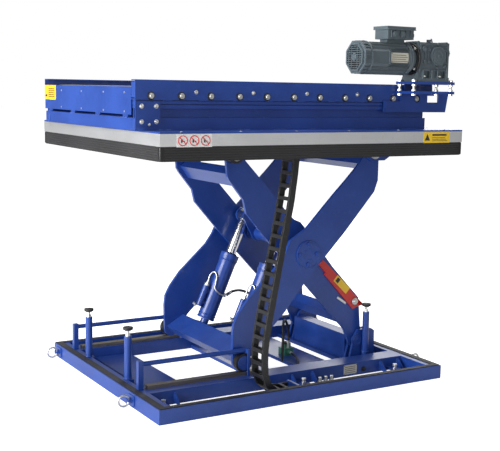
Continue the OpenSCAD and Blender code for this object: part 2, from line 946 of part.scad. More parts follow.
module drive_mount() {
    y0 = motor_y - 70;
    y1 = -conv_y - 12;
    color(blue) {
        for (z = [mount_z, mount_z + 50])
            difference() {
                block([mount_x0, y0, z], [mount_x1, y1, z + 14]);
                for (x = [mount_x0 + 16, mount_x1 - 16], y = [y0 + 14, y1 - 14])
                    translate([x, y, z - 1])
                        cylinder(h = 16, d = 14);
            }
        plate_xz(-conv_y - 12, 12)
            difference() {
                polygon([[mount_x0 - 73, mount_z - 101], [mount_x1 + 68, mount_z - 101],
                         [mount_x1 + 86, mount_z], [mount_x1, mount_z], [mount_x1, mount_z + 14],
                         [mount_x0 + 38, mount_z + 14], [mount_x0 + 38, mount_z - 42],
                         [mount_x0 - 73, mount_z - 42]]);
                translate([mount_x1 - 64, mount_z - 47])
                    square([80, 36]);
                translate([first_roller_x + (roller_n - 1) * roller_pitch, axis_z])
                    circle(d = 40);
            }
        plate_xz(-conv_y - 12, 6)
            difference() {
                polygon([[mount_x0 + 60, mount_z + 14], [mount_x1 - 30, mount_z + 14],
                         [shaft_x + 80, motor_z], [shaft_x + 50, motor_z + 80], [shaft_x - 50, motor_z + 80],
                         [shaft_x - 100, motor_z - 20], [mount_x0 + 60, mount_z + 64]]);
                translate([shaft_x, motor_z + 18])
                    circle(d = 60);
            }
    }
}

module mount_studs() {
    y0 = motor_y - 56;
    y1 = -conv_y - 26;
    color(steel)
        for (x = [mount_x0 + 16, mount_x1 - 16], y = [y0, y1])
            translate([x, y, mount_z - 10]) {
                cylinder(h = 86, d = 14);
                for (z = [0, 24, 50])
                    translate([0, 0, z])
                        cylinder(h = 10, d = 25, $fn = 6);
                translate([0, 0, 74])
                    cylinder(h = 10, d = 25, $fn = 6);
            }
}

// output shaft with its sprocket, drawn with square teeth
module drive_sprocket() {
    y0 = motor_y + 32;
    color(steel)
        difference() {
            union() {
                bar_y([shaft_x, motor_z + 18], y0, y0 + 105, 36);
                bar_y([shaft_x, motor_z + 18], y0 + 70, y0 + 82, 92);
                for (a = [0 : 20 : 340])
                    translate([shaft_x, y0 + 70, motor_z + 18])
                        rotate([0, a, 0])
                            block([40, 0, -4], [52, 12, 4]);
            }
        }
}

base_rim();
track_beams();
cross_members();
rim_seal();
track_bars();
guard_rails();
stop_posts();
stop_studs();
stop_buffers();
levelling_bolts();
valve_block();
lifting_lugs();
base_pivot_pins();
lifting_ring(0);  // lifting_ring_1
lifting_ring(1);  // lifting_ring_2
lifting_ring(2);  // lifting_ring_3
lifting_ring(3);  // lifting_ring_4
inner_arms();
inner_crossmembers();
maintenance_strut();
outer_arms();
outer_crossbeams();
centre_pins();
lower_roller_axles();
upper_roller_axles();
track_roller(pivot_z, roller_y0, -1);  // lower_roller_front
track_roller(pivot_z, roller_y0, 1);  // lower_roller_rear
track_roller(top_z, upper_roller_y0, -1);  // upper_roller_front
track_roller(top_z, upper_roller_y0, 1);  // upper_roller_rear
cylinder_barrel(-1);  // cylinder_barrel_front
cylinder_barrel(1);  // cylinder_barrel_rear
cylinder_rod(-1);  // cylinder_rod_front
cylinder_rod(1);  // cylinder_rod_rear
energy_chain();
platform_plate();
platform_frame();
top_tracks();
safety_bumper();
edge_strip();
top_pivot_pins();
conveyor_subframe();
side_channels();
roller_shafts();
motor_housing();
terminal_box();
gearbox();
drive_mount();
mount_studs();
drive_sprocket();
conveyor_roller(0);  // conveyor_roller_1
conveyor_roller(1);  // conveyor_roller_2
conveyor_roller(2);  // conveyor_roller_3
conveyor_roller(3);  // conveyor_roller_4
conveyor_roller(4);  // conveyor_roller_5
conveyor_roller(5);  // conveyor_roller_6
conveyor_roller(6);  // conveyor_roller_7
conveyor_roller(7);  // conveyor_roller_8
conveyor_roller(8);  // conveyor_roller_9
conveyor_roller(9);  // conveyor_roller_10
conveyor_roller(10);  // conveyor_roller_11
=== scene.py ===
import math

import bmesh
import bpy
from mathutils import Matrix, Vector


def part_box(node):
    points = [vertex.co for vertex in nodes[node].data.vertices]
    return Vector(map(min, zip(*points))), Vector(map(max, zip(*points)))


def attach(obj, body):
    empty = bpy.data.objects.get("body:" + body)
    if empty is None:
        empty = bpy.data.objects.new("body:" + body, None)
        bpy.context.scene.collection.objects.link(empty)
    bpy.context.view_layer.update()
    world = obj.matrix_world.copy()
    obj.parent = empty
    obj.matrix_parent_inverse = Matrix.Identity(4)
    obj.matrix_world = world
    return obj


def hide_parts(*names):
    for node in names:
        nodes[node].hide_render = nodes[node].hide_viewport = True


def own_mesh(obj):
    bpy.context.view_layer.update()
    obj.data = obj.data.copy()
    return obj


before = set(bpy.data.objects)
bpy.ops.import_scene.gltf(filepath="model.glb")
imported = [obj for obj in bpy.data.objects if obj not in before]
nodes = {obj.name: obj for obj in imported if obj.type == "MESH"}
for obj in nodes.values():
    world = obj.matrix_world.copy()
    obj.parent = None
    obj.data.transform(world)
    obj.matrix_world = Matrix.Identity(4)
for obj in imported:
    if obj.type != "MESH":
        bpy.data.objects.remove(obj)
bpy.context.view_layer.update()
scene = bpy.context.scene
print("frame loaded")

# ---- camera ----
camera = dict(place=(-2.915, -4.983, 1.623), lens=72.68, yaw=30.671, pitch=7.783, roll=0.994)


def addCamera(cfg):
    yaw, pitch, roll = (math.radians(cfg[k]) for k in ("yaw", "pitch", "roll"))
    ahead = Vector((math.sin(yaw) * math.cos(pitch), math.cos(yaw) * math.cos(pitch), -math.sin(pitch)))
    right = Vector((math.cos(yaw), -math.sin(yaw), 0))
    up = right.cross(ahead)
    tiltedRight = right * math.cos(roll) + up * math.sin(roll)
    tiltedUp = up * math.cos(roll) - right * math.sin(roll)
    data = bpy.data.cameras.new("viewCamera")
    data.lens = cfg["lens"]
    data.sensor_width = 36
    data.clip_end = 200
    obj = bpy.data.objects.new("viewCamera", data)
    turn = Matrix((tiltedRight, tiltedUp, -ahead)).transposed().to_4x4()
    obj.matrix_world = Matrix.Translation(cfg["place"]) @ turn
    scene.collection.objects.link(obj)
    scene.camera = obj


addCamera(camera)
print("camera placed")

# ---- shared shader node groups ----


def newGroup(name, inputs, outputs):
    group = bpy.data.node_groups.new(name, "ShaderNodeTree")
    for label, kind, value in inputs:
        sock = group.interface.new_socket(name=label, in_out="INPUT", socket_type=kind)
        if value is not None:
            sock.default_value = value
    for label, kind in outputs:
        group.interface.new_socket(name=label, in_out="OUTPUT", socket_type=kind)
    return group, group.nodes.new("NodeGroupInput"), group.nodes.new("NodeGroupOutput")


def join(tree, a, b):
    tree.links.new(a, b)


def mathNode(tree, op, a, b=None, clamp=False):
    n = tree.nodes.new("ShaderNodeMath")
    n.operation = op
    n.use_clamp = clamp
    for i, v in enumerate((a, b)):
        if v is None:
            continue
        if isinstance(v, (int, float)):
            n.inputs[i].default_value = v
        else:
            join(tree, v, n.inputs[i])
    return n.outputs[0]


def rampNode(tree, value, low, high):
    n = tree.nodes.new("ShaderNodeMapRange")
    join(tree, value, n.inputs["Value"])
    n.inputs["From Min"].default_value = low
    n.inputs["From Max"].default_value = high
    return n.outputs["Result"]


def noiseNode(tree, vector, scale, detail=3.0, rough=0.55):
    n = tree.nodes.new("ShaderNodeTexNoise")
    if vector is not None:
        join(tree, vector, n.inputs["Vector"])
    if isinstance(scale, (int, float)):
        n.inputs["Scale"].default_value = scale
    else:
        join(tree, scale, n.inputs["Scale"])
    n.inputs["Detail"].default_value = detail
    n.inputs["Roughness"].default_value = rough
    return n.outputs["Fac"]


def makeSurfaceGrain():  # broad colour blotches and a fine grain, in object metres
    g, i, o = newGroup("surfaceGrain", [("Blotch Scale", "NodeSocketFloat", 4.0), ("Grain Scale",
        "NodeSocketFloat", 300.0)],
                       [("Blotch", "NodeSocketFloat"), ("Grain", "NodeSocketFloat"),
                           ("Scuff", "NodeSocketFloat")])
    place = g.nodes.new("ShaderNodeTexCoord").outputs["Object"]
    join(g, rampNode(g, noiseNode(g, place, i.outputs["Blotch Scale"], 4.0, 0.6), 0.3, 0.7),
        o.inputs["Blotch"])
    join(g, noiseNode(g, place, i.outputs["Grain Scale"], 2.0), o.inputs["Grain"])
    join(g, rampNode(g, noiseNode(g, place, 23.0, 6.0, 0.7), 0.56, 0.76), o.inputs["Scuff"])
    return g


def makeEdgeWear():  # 1 along outside edges, broken up by noise
    g, i, o = newGroup("edgeWear", [("Width", "NodeSocketFloat", 0.003), ("Breakup", "NodeSocketFloat", 0.5)],
                       [("Edge", "NodeSocketFloat"), ("Worn", "NodeSocketFloat")])
    bevel = g.nodes.new("ShaderNodeBevel")
    bevel.samples = 4
    join(g, i.outputs["Width"], bevel.inputs["Radius"])
    geo = g.nodes.new("ShaderNodeNewGeometry")
    dot = g.nodes.new("ShaderNodeVectorMath")
    dot.operation = "DOT_PRODUCT"
    join(g, bevel.outputs["Normal"], dot.inputs[0])
    join(g, geo.outputs["Normal"], dot.inputs[1])
    edge = rampNode(g, dot.outputs["Value"], 0.995, 0.80)
    join(g, edge, o.inputs["Edge"])
    place = g.nodes.new("ShaderNodeTexCoord").outputs["Object"]
    broken = rampNode(g, mathNode(g, "ADD", noiseNode(g, place, 31.0, 5.0, 0.7),
        mathNode(g, "MULTIPLY", i.outputs["Breakup"], -0.3)), 0.36, 0.5)
    join(g, mathNode(g, "MULTIPLY", edge, broken, True), o.inputs["Worn"])
    return g


def makeDust():  # a thin film on faces that look up
    g, i, o = newGroup("dustFilm", [("Amount", "NodeSocketFloat", 0.3)], [("Dust", "NodeSocketFloat")])
    geo = g.nodes.new("ShaderNodeNewGeometry")
    split = g.nodes.new("ShaderNodeSeparateXYZ")
    join(g, geo.outputs["Normal"], split.inputs[0])
    up = rampNode(g, split.outputs["Z"], 0.6, 1.0)
    place = g.nodes.new("ShaderNodeTexCoord").outputs["Object"]
    cloud = rampNode(g, noiseNode(g, place, 11.0, 6.0, 0.65), 0.3, 0.75)
    join(g, mathNode(g, "MULTIPLY", mathNode(g, "MULTIPLY", up, cloud), i.outputs["Amount"], True),
        o.inputs["Dust"])
    return g


def makeBrushed():  # long scratches, finest across the Stretch vector's small numbers
    g, i, o = newGroup("brushedLines", [("Stretch", "NodeSocketVector", (4.0, 900.0, 900.0))],
                       [("Lines", "NodeSocketFloat"), ("Smear", "NodeSocketFloat")])
    place = g.nodes.new("ShaderNodeTexCoord").outputs["Object"]
    scaled = g.nodes.new("ShaderNodeVectorMath")
    scaled.operation = "MULTIPLY"
    join(g, place, scaled.inputs[0])
    join(g, i.outputs["Stretch"], scaled.inputs[1])
    join(g, noiseNode(g, scaled.outputs["Vector"], 1.0, 4.0), o.inputs["Lines"])
    join(g, rampNode(g, noiseNode(g, place, 7.0, 5.0, 0.6), 0.3, 0.7), o.inputs["Smear"])
    return g


grainGroup, wearGroup, dustGroup, brushGroup = makeSurfaceGrain(), makeEdgeWear(), makeDust(), makeBrushed()
print("node groups built")

# ---- materials ----
paints = dict(
    bluePaint=dict(low=(0.011, 0.046, 0.250), high=(0.017, 0.066, 0.335), edge=(0.07, 0.17, 0.62),
        rough=0.34, coat=0.22, bump=0.22, wear=0.45, dust=0.05),
    greyPaint=dict(low=(0.075, 0.100, 0.118), high=(0.110, 0.145, 0.165), edge=(0.26, 0.31, 0.33),
        rough=0.42, coat=0.15, bump=0.45, wear=0.35, dust=0.25),
    greenPaint=dict(low=(0.03, 0.13, 0.09), high=(0.05, 0.20, 0.13), edge=(0.25, 0.4, 0.32), rough=0.4,
        coat=0.2, bump=0.4, wear=0.4, dust=0.2),
    redPaint=dict(low=(0.52, 0.016, 0.010), high=(0.68, 0.030, 0.018), edge=(0.75, 0.25, 0.2), rough=0.34,
        coat=0.3, bump=0.25, wear=0.4, dust=0.12),
    blackRubber=dict(low=(0.010, 0.010, 0.011), high=(0.020, 0.020, 0.022), edge=(0.06, 0.06, 0.065),
        rough=0.62, coat=0.0, bump=0.7, wear=0.7, dust=0.12),
    chainPlastic=dict(low=(0.010, 0.010, 0.011), high=(0.017, 0.017, 0.019), edge=(0.07, 0.07, 0.075),
        rough=0.46, coat=0.0, bump=0.5, wear=0.6, dust=0.16),
    hoseRubber=dict(low=(0.009, 0.009, 0.010), high=(0.016, 0.016, 0.017), edge=(0.04, 0.04, 0.04),
        rough=0.5, coat=0.0, bump=0.8, wear=0.2, dust=0.2),
    blackPlastic=dict(low=(0.008, 0.008, 0.009), high=(0.014, 0.014, 0.015), edge=(0.05, 0.05, 0.05),
        rough=0.4, coat=0.0, bump=0.3, wear=0.3, dust=0.1),
    yellowLabel=dict(low=(0.82, 0.50, 0.010), high=(0.92, 0.60, 0.02), edge=(0.9, 0.75, 0.3), rough=0.34,
        coat=0.3, bump=0.1, wear=0.2, dust=0.08),
    whiteLabel=dict(low=(0.80, 0.80, 0.80), high=(0.88, 0.88, 0.88), edge=(0.7, 0.7, 0.7), rough=0.34,
        coat=0.3, bump=0.1, wear=0.2, dust=0.08),
    inkBlack=dict(low=(0.012, 0.012, 0.012), high=(0.03, 0.03, 0.03), edge=(0.05, 0.05, 0.05), rough=0.4,
        coat=0.2, bump=0.1, wear=0.1, dust=0.05),
    inkRed=dict(low=(0.62, 0.02, 0.015), high=(0.72, 0.03, 0.02), edge=(0.7, 0.1, 0.08), rough=0.36,
        coat=0.3, bump=0.1, wear=0.1, dust=0.05),
    platePale=dict(low=(0.56, 0.54, 0.46), high=(0.66, 0.64, 0.56), edge=(0.75, 0.73, 0.68), rough=0.4,
        coat=0.1, bump=0.2, wear=0.3, dust=0.1),
)
metals = dict(
    aluminiumStrip=dict(low=(0.80, 0.81, 0.82), high=(0.94, 0.95, 0.96), stretch=(5.0, 700.0, 700.0),
        rough=0.40, bump=0.12, stain=0.15),
    bareSteel=dict(low=(0.10, 0.09, 0.07), high=(0.42, 0.38, 0.31), stretch=(6.0, 260.0, 260.0), rough=0.46,
        bump=0.25, stain=0.6),
    zincSteel=dict(low=(0.62, 0.62, 0.59), high=(0.86, 0.86, 0.83), stretch=(160.0, 160.0, 160.0),
        rough=0.33, bump=0.15, stain=0.3),
    darkSteel=dict(low=(0.045, 0.046, 0.050), high=(0.12, 0.12, 0.13), stretch=(260.0, 30.0, 260.0),
        rough=0.42, bump=0.2, stain=0.4),
    chromeRod=dict(low=(0.66, 0.67, 0.68), high=(0.80, 0.80, 0.81), stretch=(300.0, 300.0, 18.0), rough=0.13,
        bump=0.03, stain=0.08),
    rollerTube=dict(low=(0.56, 0.54, 0.48), high=(0.76, 0.74, 0.69), stretch=(420.0, 14.0, 420.0),
        rough=0.31, bump=0.12, stain=0.25),
)


def placeGroup(tree, group, **values):
    n = tree.nodes.new("ShaderNodeGroup")
    n.node_tree = group
    for k, v in values.items():
        n.inputs[k].default_value = v
    return n


def mixColours(tree, fac, a, b):
    n = tree.nodes.new("ShaderNodeMix")
    n.data_type = "RGBA"
    if isinstance(fac, float):
        n.inputs[0].default_value = fac
    else:
        join(tree, fac, n.inputs[0])
    for slot, v in ((6, a), (7, b)):
        if isinstance(v, tuple):
            n.inputs[slot].default_value = (*v, 1)
        else:
            join(tree, v, n.inputs[slot])
    return n.outputs[2]


def startMaterial(name):
    m = bpy.data.materials.new(name)
    m.use_nodes = True
    return m, m.node_tree, m.node_tree.nodes["Principled BSDF"]


def addBump(tree, shader, height, strength, distance):
    b = tree.nodes.new("ShaderNodeBump")
    b.inputs["Strength"].default_value = strength
    b.inputs["Distance"].default_value = distance
    join(tree, height, b.inputs["Height"])
    join(tree, b.outputs["Normal"], shader.inputs["Normal"])


def makePaint(name, f):
    m, t, s = startMaterial(name)
    grain = placeGroup(t, grainGroup, **{"Blotch Scale": 3.1, "Grain Scale": 420.0})
    wear = placeGroup(t, wearGroup, **{"Width": 0.0028, "Breakup": 0.6})
    dust = placeGroup(t, dustGroup, **{"Amount": f["dust"]})
    base = mixColours(t, grain.outputs["Blotch"], f["low"], f["high"])
    scuffed = mixColours(t, mathNode(t, "MULTIPLY", grain.outputs["Scuff"], 0.14), base, f["edge"])
    worn = mixColours(t, mathNode(t, "MULTIPLY", wear.outputs["Worn"], f["wear"]), scuffed, f["edge"])
    dusty = mixColours(t, dust.outputs["Dust"], worn, (0.36, 0.36, 0.36))
    join(t, dusty, s.inputs["Base Color"])
    rough = mathNode(t, "ADD", f["rough"] - 0.06, mathNode(t, "MULTIPLY", grain.outputs["Blotch"], 0.08))
    rough = mathNode(t, "ADD", rough, mathNode(t, "MULTIPLY", dust.outputs["Dust"], 0.5))
    rough = mathNode(t, "ADD", rough, mathNode(t, "MULTIPLY", grain.outputs["Scuff"], 0.12), True)
    join(t, rough, s.inputs["Roughness"])
    if f["coat"] > 0:
        s.inputs["Coat Weight"].default_value = f["coat"]
        s.inputs["Coat Roughness"].default_value = 0.22
    addBump(t, s, grain.outputs["Grain"], f["bump"], 0.0006)
    return m


def makeMetal(name, f):
    m, t, s = startMaterial(name)
    brush = placeGroup(t, brushGroup, **{"Stretch": f["stretch"]})
    grain = placeGroup(t, grainGroup, **{"Blotch Scale": 9.0, "Grain Scale": 500.0})
    wear = placeGroup(t, wearGroup, **{"Width": 0.0016, "Breakup": 0.3})
    base = mixColours(t, brush.outputs["Lines"], f["low"], f["high"])
    stain = tuple(0.45 * c for c in f["low"])
    stained = mixColours(t, mathNode(t, "MULTIPLY", grain.outputs["Scuff"], f["stain"]), base, stain)
    bright = tuple(min(1, 1.1 * c) for c in f["high"])
    join(t, mixColours(t, mathNode(t, "MULTIPLY", wear.outputs["Edge"], 0.6), stained, bright),
        s.inputs["Base Color"])
    s.inputs["Metallic"].default_value = 1.0
    rough = mathNode(t, "ADD", f["rough"] - 0.05, mathNode(t, "MULTIPLY", brush.outputs["Lines"], 0.10))
    rough = mathNode(t, "ADD", rough, mathNode(t, "MULTIPLY", brush.outputs["Smear"], 0.06))
    rough = mathNode(t, "ADD", rough, mathNode(t, "MULTIPLY", grain.outputs["Scuff"], 0.5 * f["stain"]), True)
    join(t, rough, s.inputs["Roughness"])
    addBump(t, s, brush.outputs["Lines"], f["bump"], 0.0004)
    return m


paint = {name: makePaint(name, values) for name, values in paints.items()}
paint.update({name: makeMetal(name, values) for name, values in metals.items()})


def makeRibbedRubber():  # the bumper's skin has shallow lines along its length
    m = makePaint("ribbedRubber", paints["blackRubber"])
    t = m.node_tree
    s = t.nodes["Principled BSDF"]
    split = t.nodes.new("ShaderNodeSeparateXYZ")
    join(t, t.nodes.new("ShaderNodeTexCoord").outputs["Object"], split.inputs[0])
    wave = mathNode(t, "SINE", mathNode(t, "MULTIPLY", split.outputs["Z"], 2 * math.pi / 0.0117))
    grain = next(n for n in t.nodes if n.type == "GROUP" and n.node_tree == grainGroup)
    height = mathNode(t, "ADD", mathNode(t, "MULTIPLY", wave, 1.2), grain.outputs["Grain"])
    addBump(t, s, height, 0.5, 0.0012)
    return m


paint["ribbedRubber"] = makeRibbedRubber()

nodeFinish = dict(
    bluePaint=["base_rim", "track_beams", "cross_members", "guard_rails", "stop_posts", "lifting_lugs",
        "inner_arms", "inner_crossmembers",
               "outer_arms", "outer_crossbeams", "centre_pins", "base_pivot_pins", "lower_roller_axles",
                   "cylinder_barrel_front", "cylinder_barrel_rear", "platform_plate", "platform_frame",
               "top_tracks", "conveyor_subframe", "side_channels", "drive_mount"],
    blackRubber=["rim_seal", "stop_buffers"], ribbedRubber=["safety_bumper"],
        bareSteel=["track_bars", "drive_sprocket"],
    zincSteel=["stop_studs", "levelling_bolts", "lifting_ring_1", "lifting_ring_2", "lifting_ring_3",
        "lifting_ring_4",
               "top_pivot_pins", "roller_shafts", "mount_studs", "upper_roller_axles"],
    darkSteel=["lower_roller_front", "lower_roller_rear", "upper_roller_front", "upper_roller_rear"],
    chromeRod=["cylinder_rod_front", "cylinder_rod_rear"], chainPlastic=["energy_chain"],
        aluminiumStrip=["edge_strip"],
    greenPaint=["valve_block"], redPaint=["maintenance_strut"],
        greyPaint=["motor_housing", "terminal_box", "gearbox"],
    rollerTube=["conveyor_roller_%d" % i for i in range(1, 12)],
)
for finishName, members in nodeFinish.items():
    for member in members:
        nodes[member].data.materials.clear()
        nodes[member].data.materials.append(paint[finishName])
print("materials assigned")

# ---- mesh helpers ----
mm = 0.001


def mmVec(p):
    return Vector(p) * mm


def addBlock(bm, lo, hi, part=0):
    lo, hi = mmVec(lo), mmVec(hi)
    made = bmesh.ops.create_cube(bm, size=1,
        matrix=Matrix.Translation((lo + hi) / 2) @ Matrix.Diagonal((*(hi - lo), 1)))
    setPart(made["verts"], part)
    return made["verts"]


def setPart(verts, part):
    for f in {f for v in verts for f in v.link_faces}:
        f.material_index = part


def addRod(bm, a, b, radius, sides=24, part=0, endRadius=None):
    a, b = mmVec(a), mmVec(b)
    span = b - a
    turn = span.to_track_quat("Z", "Y").to_matrix().to_4x4()
    made = bmesh.ops.create_cone(bm, cap_ends=True, segments=sides, radius1=radius * mm,
        radius2=(radius if endRadius is None else endRadius) * mm,
                                 depth=span.length, matrix=Matrix.Translation((a + b) / 2) @ turn)
    setPart(made["verts"], part)
    return made["verts"]


def addRing(bm, centre, axis, radius, thick, sides=32, part=0):  # a round bar bent into a ring
    centre, axis = mmVec(centre), Vector(axis).normalized()
    turn = axis.to_track_quat("Z", "Y").to_matrix()
    rows = []
    for i in range(sides):
        t = 2 * math.pi * i / sides
        row = []
        for j in range(10):
            u = 2 * math.pi * j / 10
            p = Vector(((radius + thick * math.cos(u)) * math.cos(t),
                (radius + thick * math.cos(u)) * math.sin(t), thick * math.sin(u))) * mm
            row.append(bm.verts.new(centre + turn @ p))
        rows.append(row)
    for i in range(sides):
        for j in range(10):
            a, b = rows[i], rows[(i + 1) % sides]
            f = bm.faces.new((a[j], b[j], b[(j + 1) % 10], a[(j + 1) % 10]))
            f.material_index = part


def addOctagon(bm, x0, x1, y, z, outer, inner, part=0):  # an eight sided frame, or a plate when inner is 0
    rows = []
    for x in (x0, x1):
        for r in (outer, inner) if inner else (outer,):
            rows.append([bm.verts.new(mmVec((x, y + r * math.cos(a) / math.cos(math.pi / 8),
                z + r * math.sin(a) / math.cos(math.pi / 8))))
                         for a in (math.pi / 8 + math.pi / 4 * k for k in range(8))])
    pairs = ((0, 1), (1, 3), (3, 2), (2, 0)) if inner else ((0, 1),)
    for p, q in pairs:
        for k in range(8):
            bm.faces.new((rows[p][k], rows[p][(k + 1) % 8], rows[q][(k + 1) % 8],
                rows[q][k])).material_index = part
    if not inner:
        bm.faces.new(rows[0]).material_index = part
        bm.faces.new(rows[1][::-1]).material_index = part


def addBead(bm, a, b, radius, seed=1, part=0):  # a weld bead: a row of overlapping ripples
    a, b = mmVec(a), mmVec(b)
    span = b - a
    count = max(4, int(span.length / (radius * mm * 1.1)))
    turn = span.to_track_quat("Z", "Y").to_matrix()
    rows = []
    for i in range(count * 2 + 1):
        t = i / (count * 2)
        swell = (1.0 if i % 2 else 0.82) * (1 + 0.10 * math.sin(seed * 1.7 + i * 2.3))
        if i in (0, count * 2):
            swell = 0.35
        rows.append([bm.verts.new(a + span * t + turn @ Vector((math.cos(u), math.sin(u),
            0)) * radius * mm * swell)
                     for u in (2 * math.pi * k / 7 for k in range(7))])
    for r, q in zip(rows, rows[1:]):
        for k in range(7):
            f = bm.faces.new((r[k], r[(k + 1) % 7], q[(k + 1) % 7], q[k]))
            f.material_index = part
    for row, flipRow in ((rows[0], True), (rows[-1], False)):
        f = bm.faces.new(row[::-1] if flipRow else row)
        f.material_index = part


# head, washer and tip standing out of a face
def addBolt(bm, at, out, across, part=0, washer=True, socket=False):
    out = Vector(out).normalized()
    at = Vector(at)
    if washer:
        addRod(bm, at, at + out * 2, across * 0.68, 20, part)
    if socket:
        addRod(bm, at + out * 2, at + out * 8, across * 0.5, 20, part, across * 0.47)
        addRing(bm, at + out * 8, out, across * 0.33, across * 0.12, 16, part)
    else:
        addRod(bm, at + out * 1.5, at + out * 8, across * 0.55, 6, part, across * 0.53)
        addRod(bm, at + out * 8, at + out * 10, across * 0.3, 14, part, across * 0.22)


def finishPiece(name, bm, finishList, body, bevel=0.0008, smooth=35):
    bmesh.ops.recalc_face_normals(bm, faces=bm.faces)
    mesh = bpy.data.meshes.new(name)
    bm.to_mesh(mesh)
    bm.free()
    for key in finishList:
        mesh.materials.append(paint[key])
    for p in mesh.polygons:
        p.use_smooth = True
    mesh.set_sharp_from_angle(angle=math.radians(smooth))
    obj = bpy.data.objects.new(name, mesh)
    scene.collection.objects.link(obj)
    if bevel:
        mod = obj.modifiers.new("softEdges", "BEVEL")
        mod.width = bevel
        mod.segments = 2
        mod.limit_method = "ANGLE"
        mod.angle_limit = math.radians(40)
    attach(obj, body)
    return obj


def addHose(name, points, radius, finish, body):  # a round hose or pipe through the points
    curve = bpy.data.curves.new(name, "CURVE")
    curve.dimensions = "3D"
    curve.bevel_depth = radius * mm
    curve.bevel_resolution = 4
    curve.use_fill_caps = True
    curve.resolution_u = 10
    line = curve.splines.new("BEZIER")
    line.bezier_points.add(len(points) - 1)
    for p, q in zip(line.bezier_points, points):
        p.co = mmVec(q)
        p.handle_left_type = p.handle_right_type = "AUTO"
    curve.materials.append(paint[finish])
    obj = bpy.data.objects.new(name, curve)
    scene.collection.objects.link(obj)
    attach(obj, body)
    return obj


# ---- energy chain ----
energyChain = dict(path=[(-71, 1336), (-80, 1226), (-102, 1050), (-230, 380), (-245, 248), (-238, 130),
    (-212, 72), (-160, 40), (-110, 35), (-34, 35)],
                   y=-600, wide=118, thick=37, pitch=67)


def walkPath(path, step):  # evenly spaced points along a broken line
    pts = [Vector((x, 0, z)) for x, z in path]
    lengths = [(b - a).length for a, b in zip(pts, pts[1:])]
    total = sum(lengths)
    count = round(total / step)
    found = []
    for i in range(count + 1):
        want = total * i / count
        for a, b, l in zip(pts, pts[1:], lengths):
            if want <= l + 1e-6:
                found.append(a + (b - a) * (want / l))
                break
            want -= l
    return found


def buildEnergyChain(cfg):
    bm = bmesh.new()
    joints = walkPath(cfg["path"], cfg["pitch"])
    half, thick = cfg["wide"] / 2, cfg["thick"] / 2
    for i, (a, b) in enumerate(zip(joints, joints[1:])):
        along = (b - a).normalized()
        across = Vector((along.z, 0, -along.x))
        length = (b - a).length

        def place(s, n, y):
            return (a + along * s + across * n + Vector((0, cfg["y"] + y, 0))) * mm

        def slab(s0, s1, n0, n1, y0, y1, part=0):
            v = [bm.verts.new(place(s, n, y)) for s in (s0, s1) for n in (n0, n1) for y in (y0, y1)]
            for idx in ((0, 1, 3, 2), (4, 6, 7, 5), (0, 4, 5, 1), (2, 3, 7, 6), (0, 2, 6, 4), (1, 5, 7, 3)):
                bm.faces.new([v[k] for k in idx]).material_index = part

        tuck = 0.8 if i % 2 else 0.0
        for side in (-1, 1):  # overlapping side plates, and a hinge boss where two links meet
            y0, y1 = sorted((side * (half - tuck), side * (half - 8 - tuck)))
            slab(2, length + 5, -thick * 0.94, thick * 0.94, y0, y1)
            y2, y3 = sorted((side * (half - 8), side * (half - 13)))
            slab(-5, length - 8, -thick * 0.8, thick * 0.8, y2, y3)
            addRod(bm, place(0, 0, side * (half - 2)) / mm, place(0, 0, side * (half + 0.6)) / mm, 9, 18)
        for face in (-1, 1):
            n0, n1 = sorted((face * thick * 0.98, face * thick * 0.66))
            slab(length * 0.06, length * 0.36, n0, n1, -half + 4, half - 4)
            for y0 in (-half + 13, half - 17):
                slab(length * 0.36, length * 1.06, n0 * 0.96, n1 * 0.96, y0, y0 + 4)
        slab(length * 0.14, length * 0.28, -thick * 0.66, thick * 0.66, -4, 4)
    chain = finishPiece("cableChain", bm, ["chainPlastic"], "base", 0.0012)
    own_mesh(chain)
    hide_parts("energy_chain")


buildEnergyChain(energyChain)
print("energy chain built")

# ---- labels and plates, all without lettering ----
labels = dict(stripFace=-789.4, plateFace=-465.0, endLabel=(446, 640, 1537, 1618),
    circles=(-831, -644, 1343, 1403), edgeLabel=(643, 825, 1344, 1402), typePlate=(401, 492, 12, 66))


def addSign(bm, ax, at, a0, a1, b0, b1, part):  # a thin sheet on a face of constant X or Y
    if ax == "x":
        addBlock(bm, (at - 0.8, a0, b0), (at, a1, b1), part)
    else:
        addBlock(bm, (a0, at - 0.8, b0), (a1, at, b1), part)


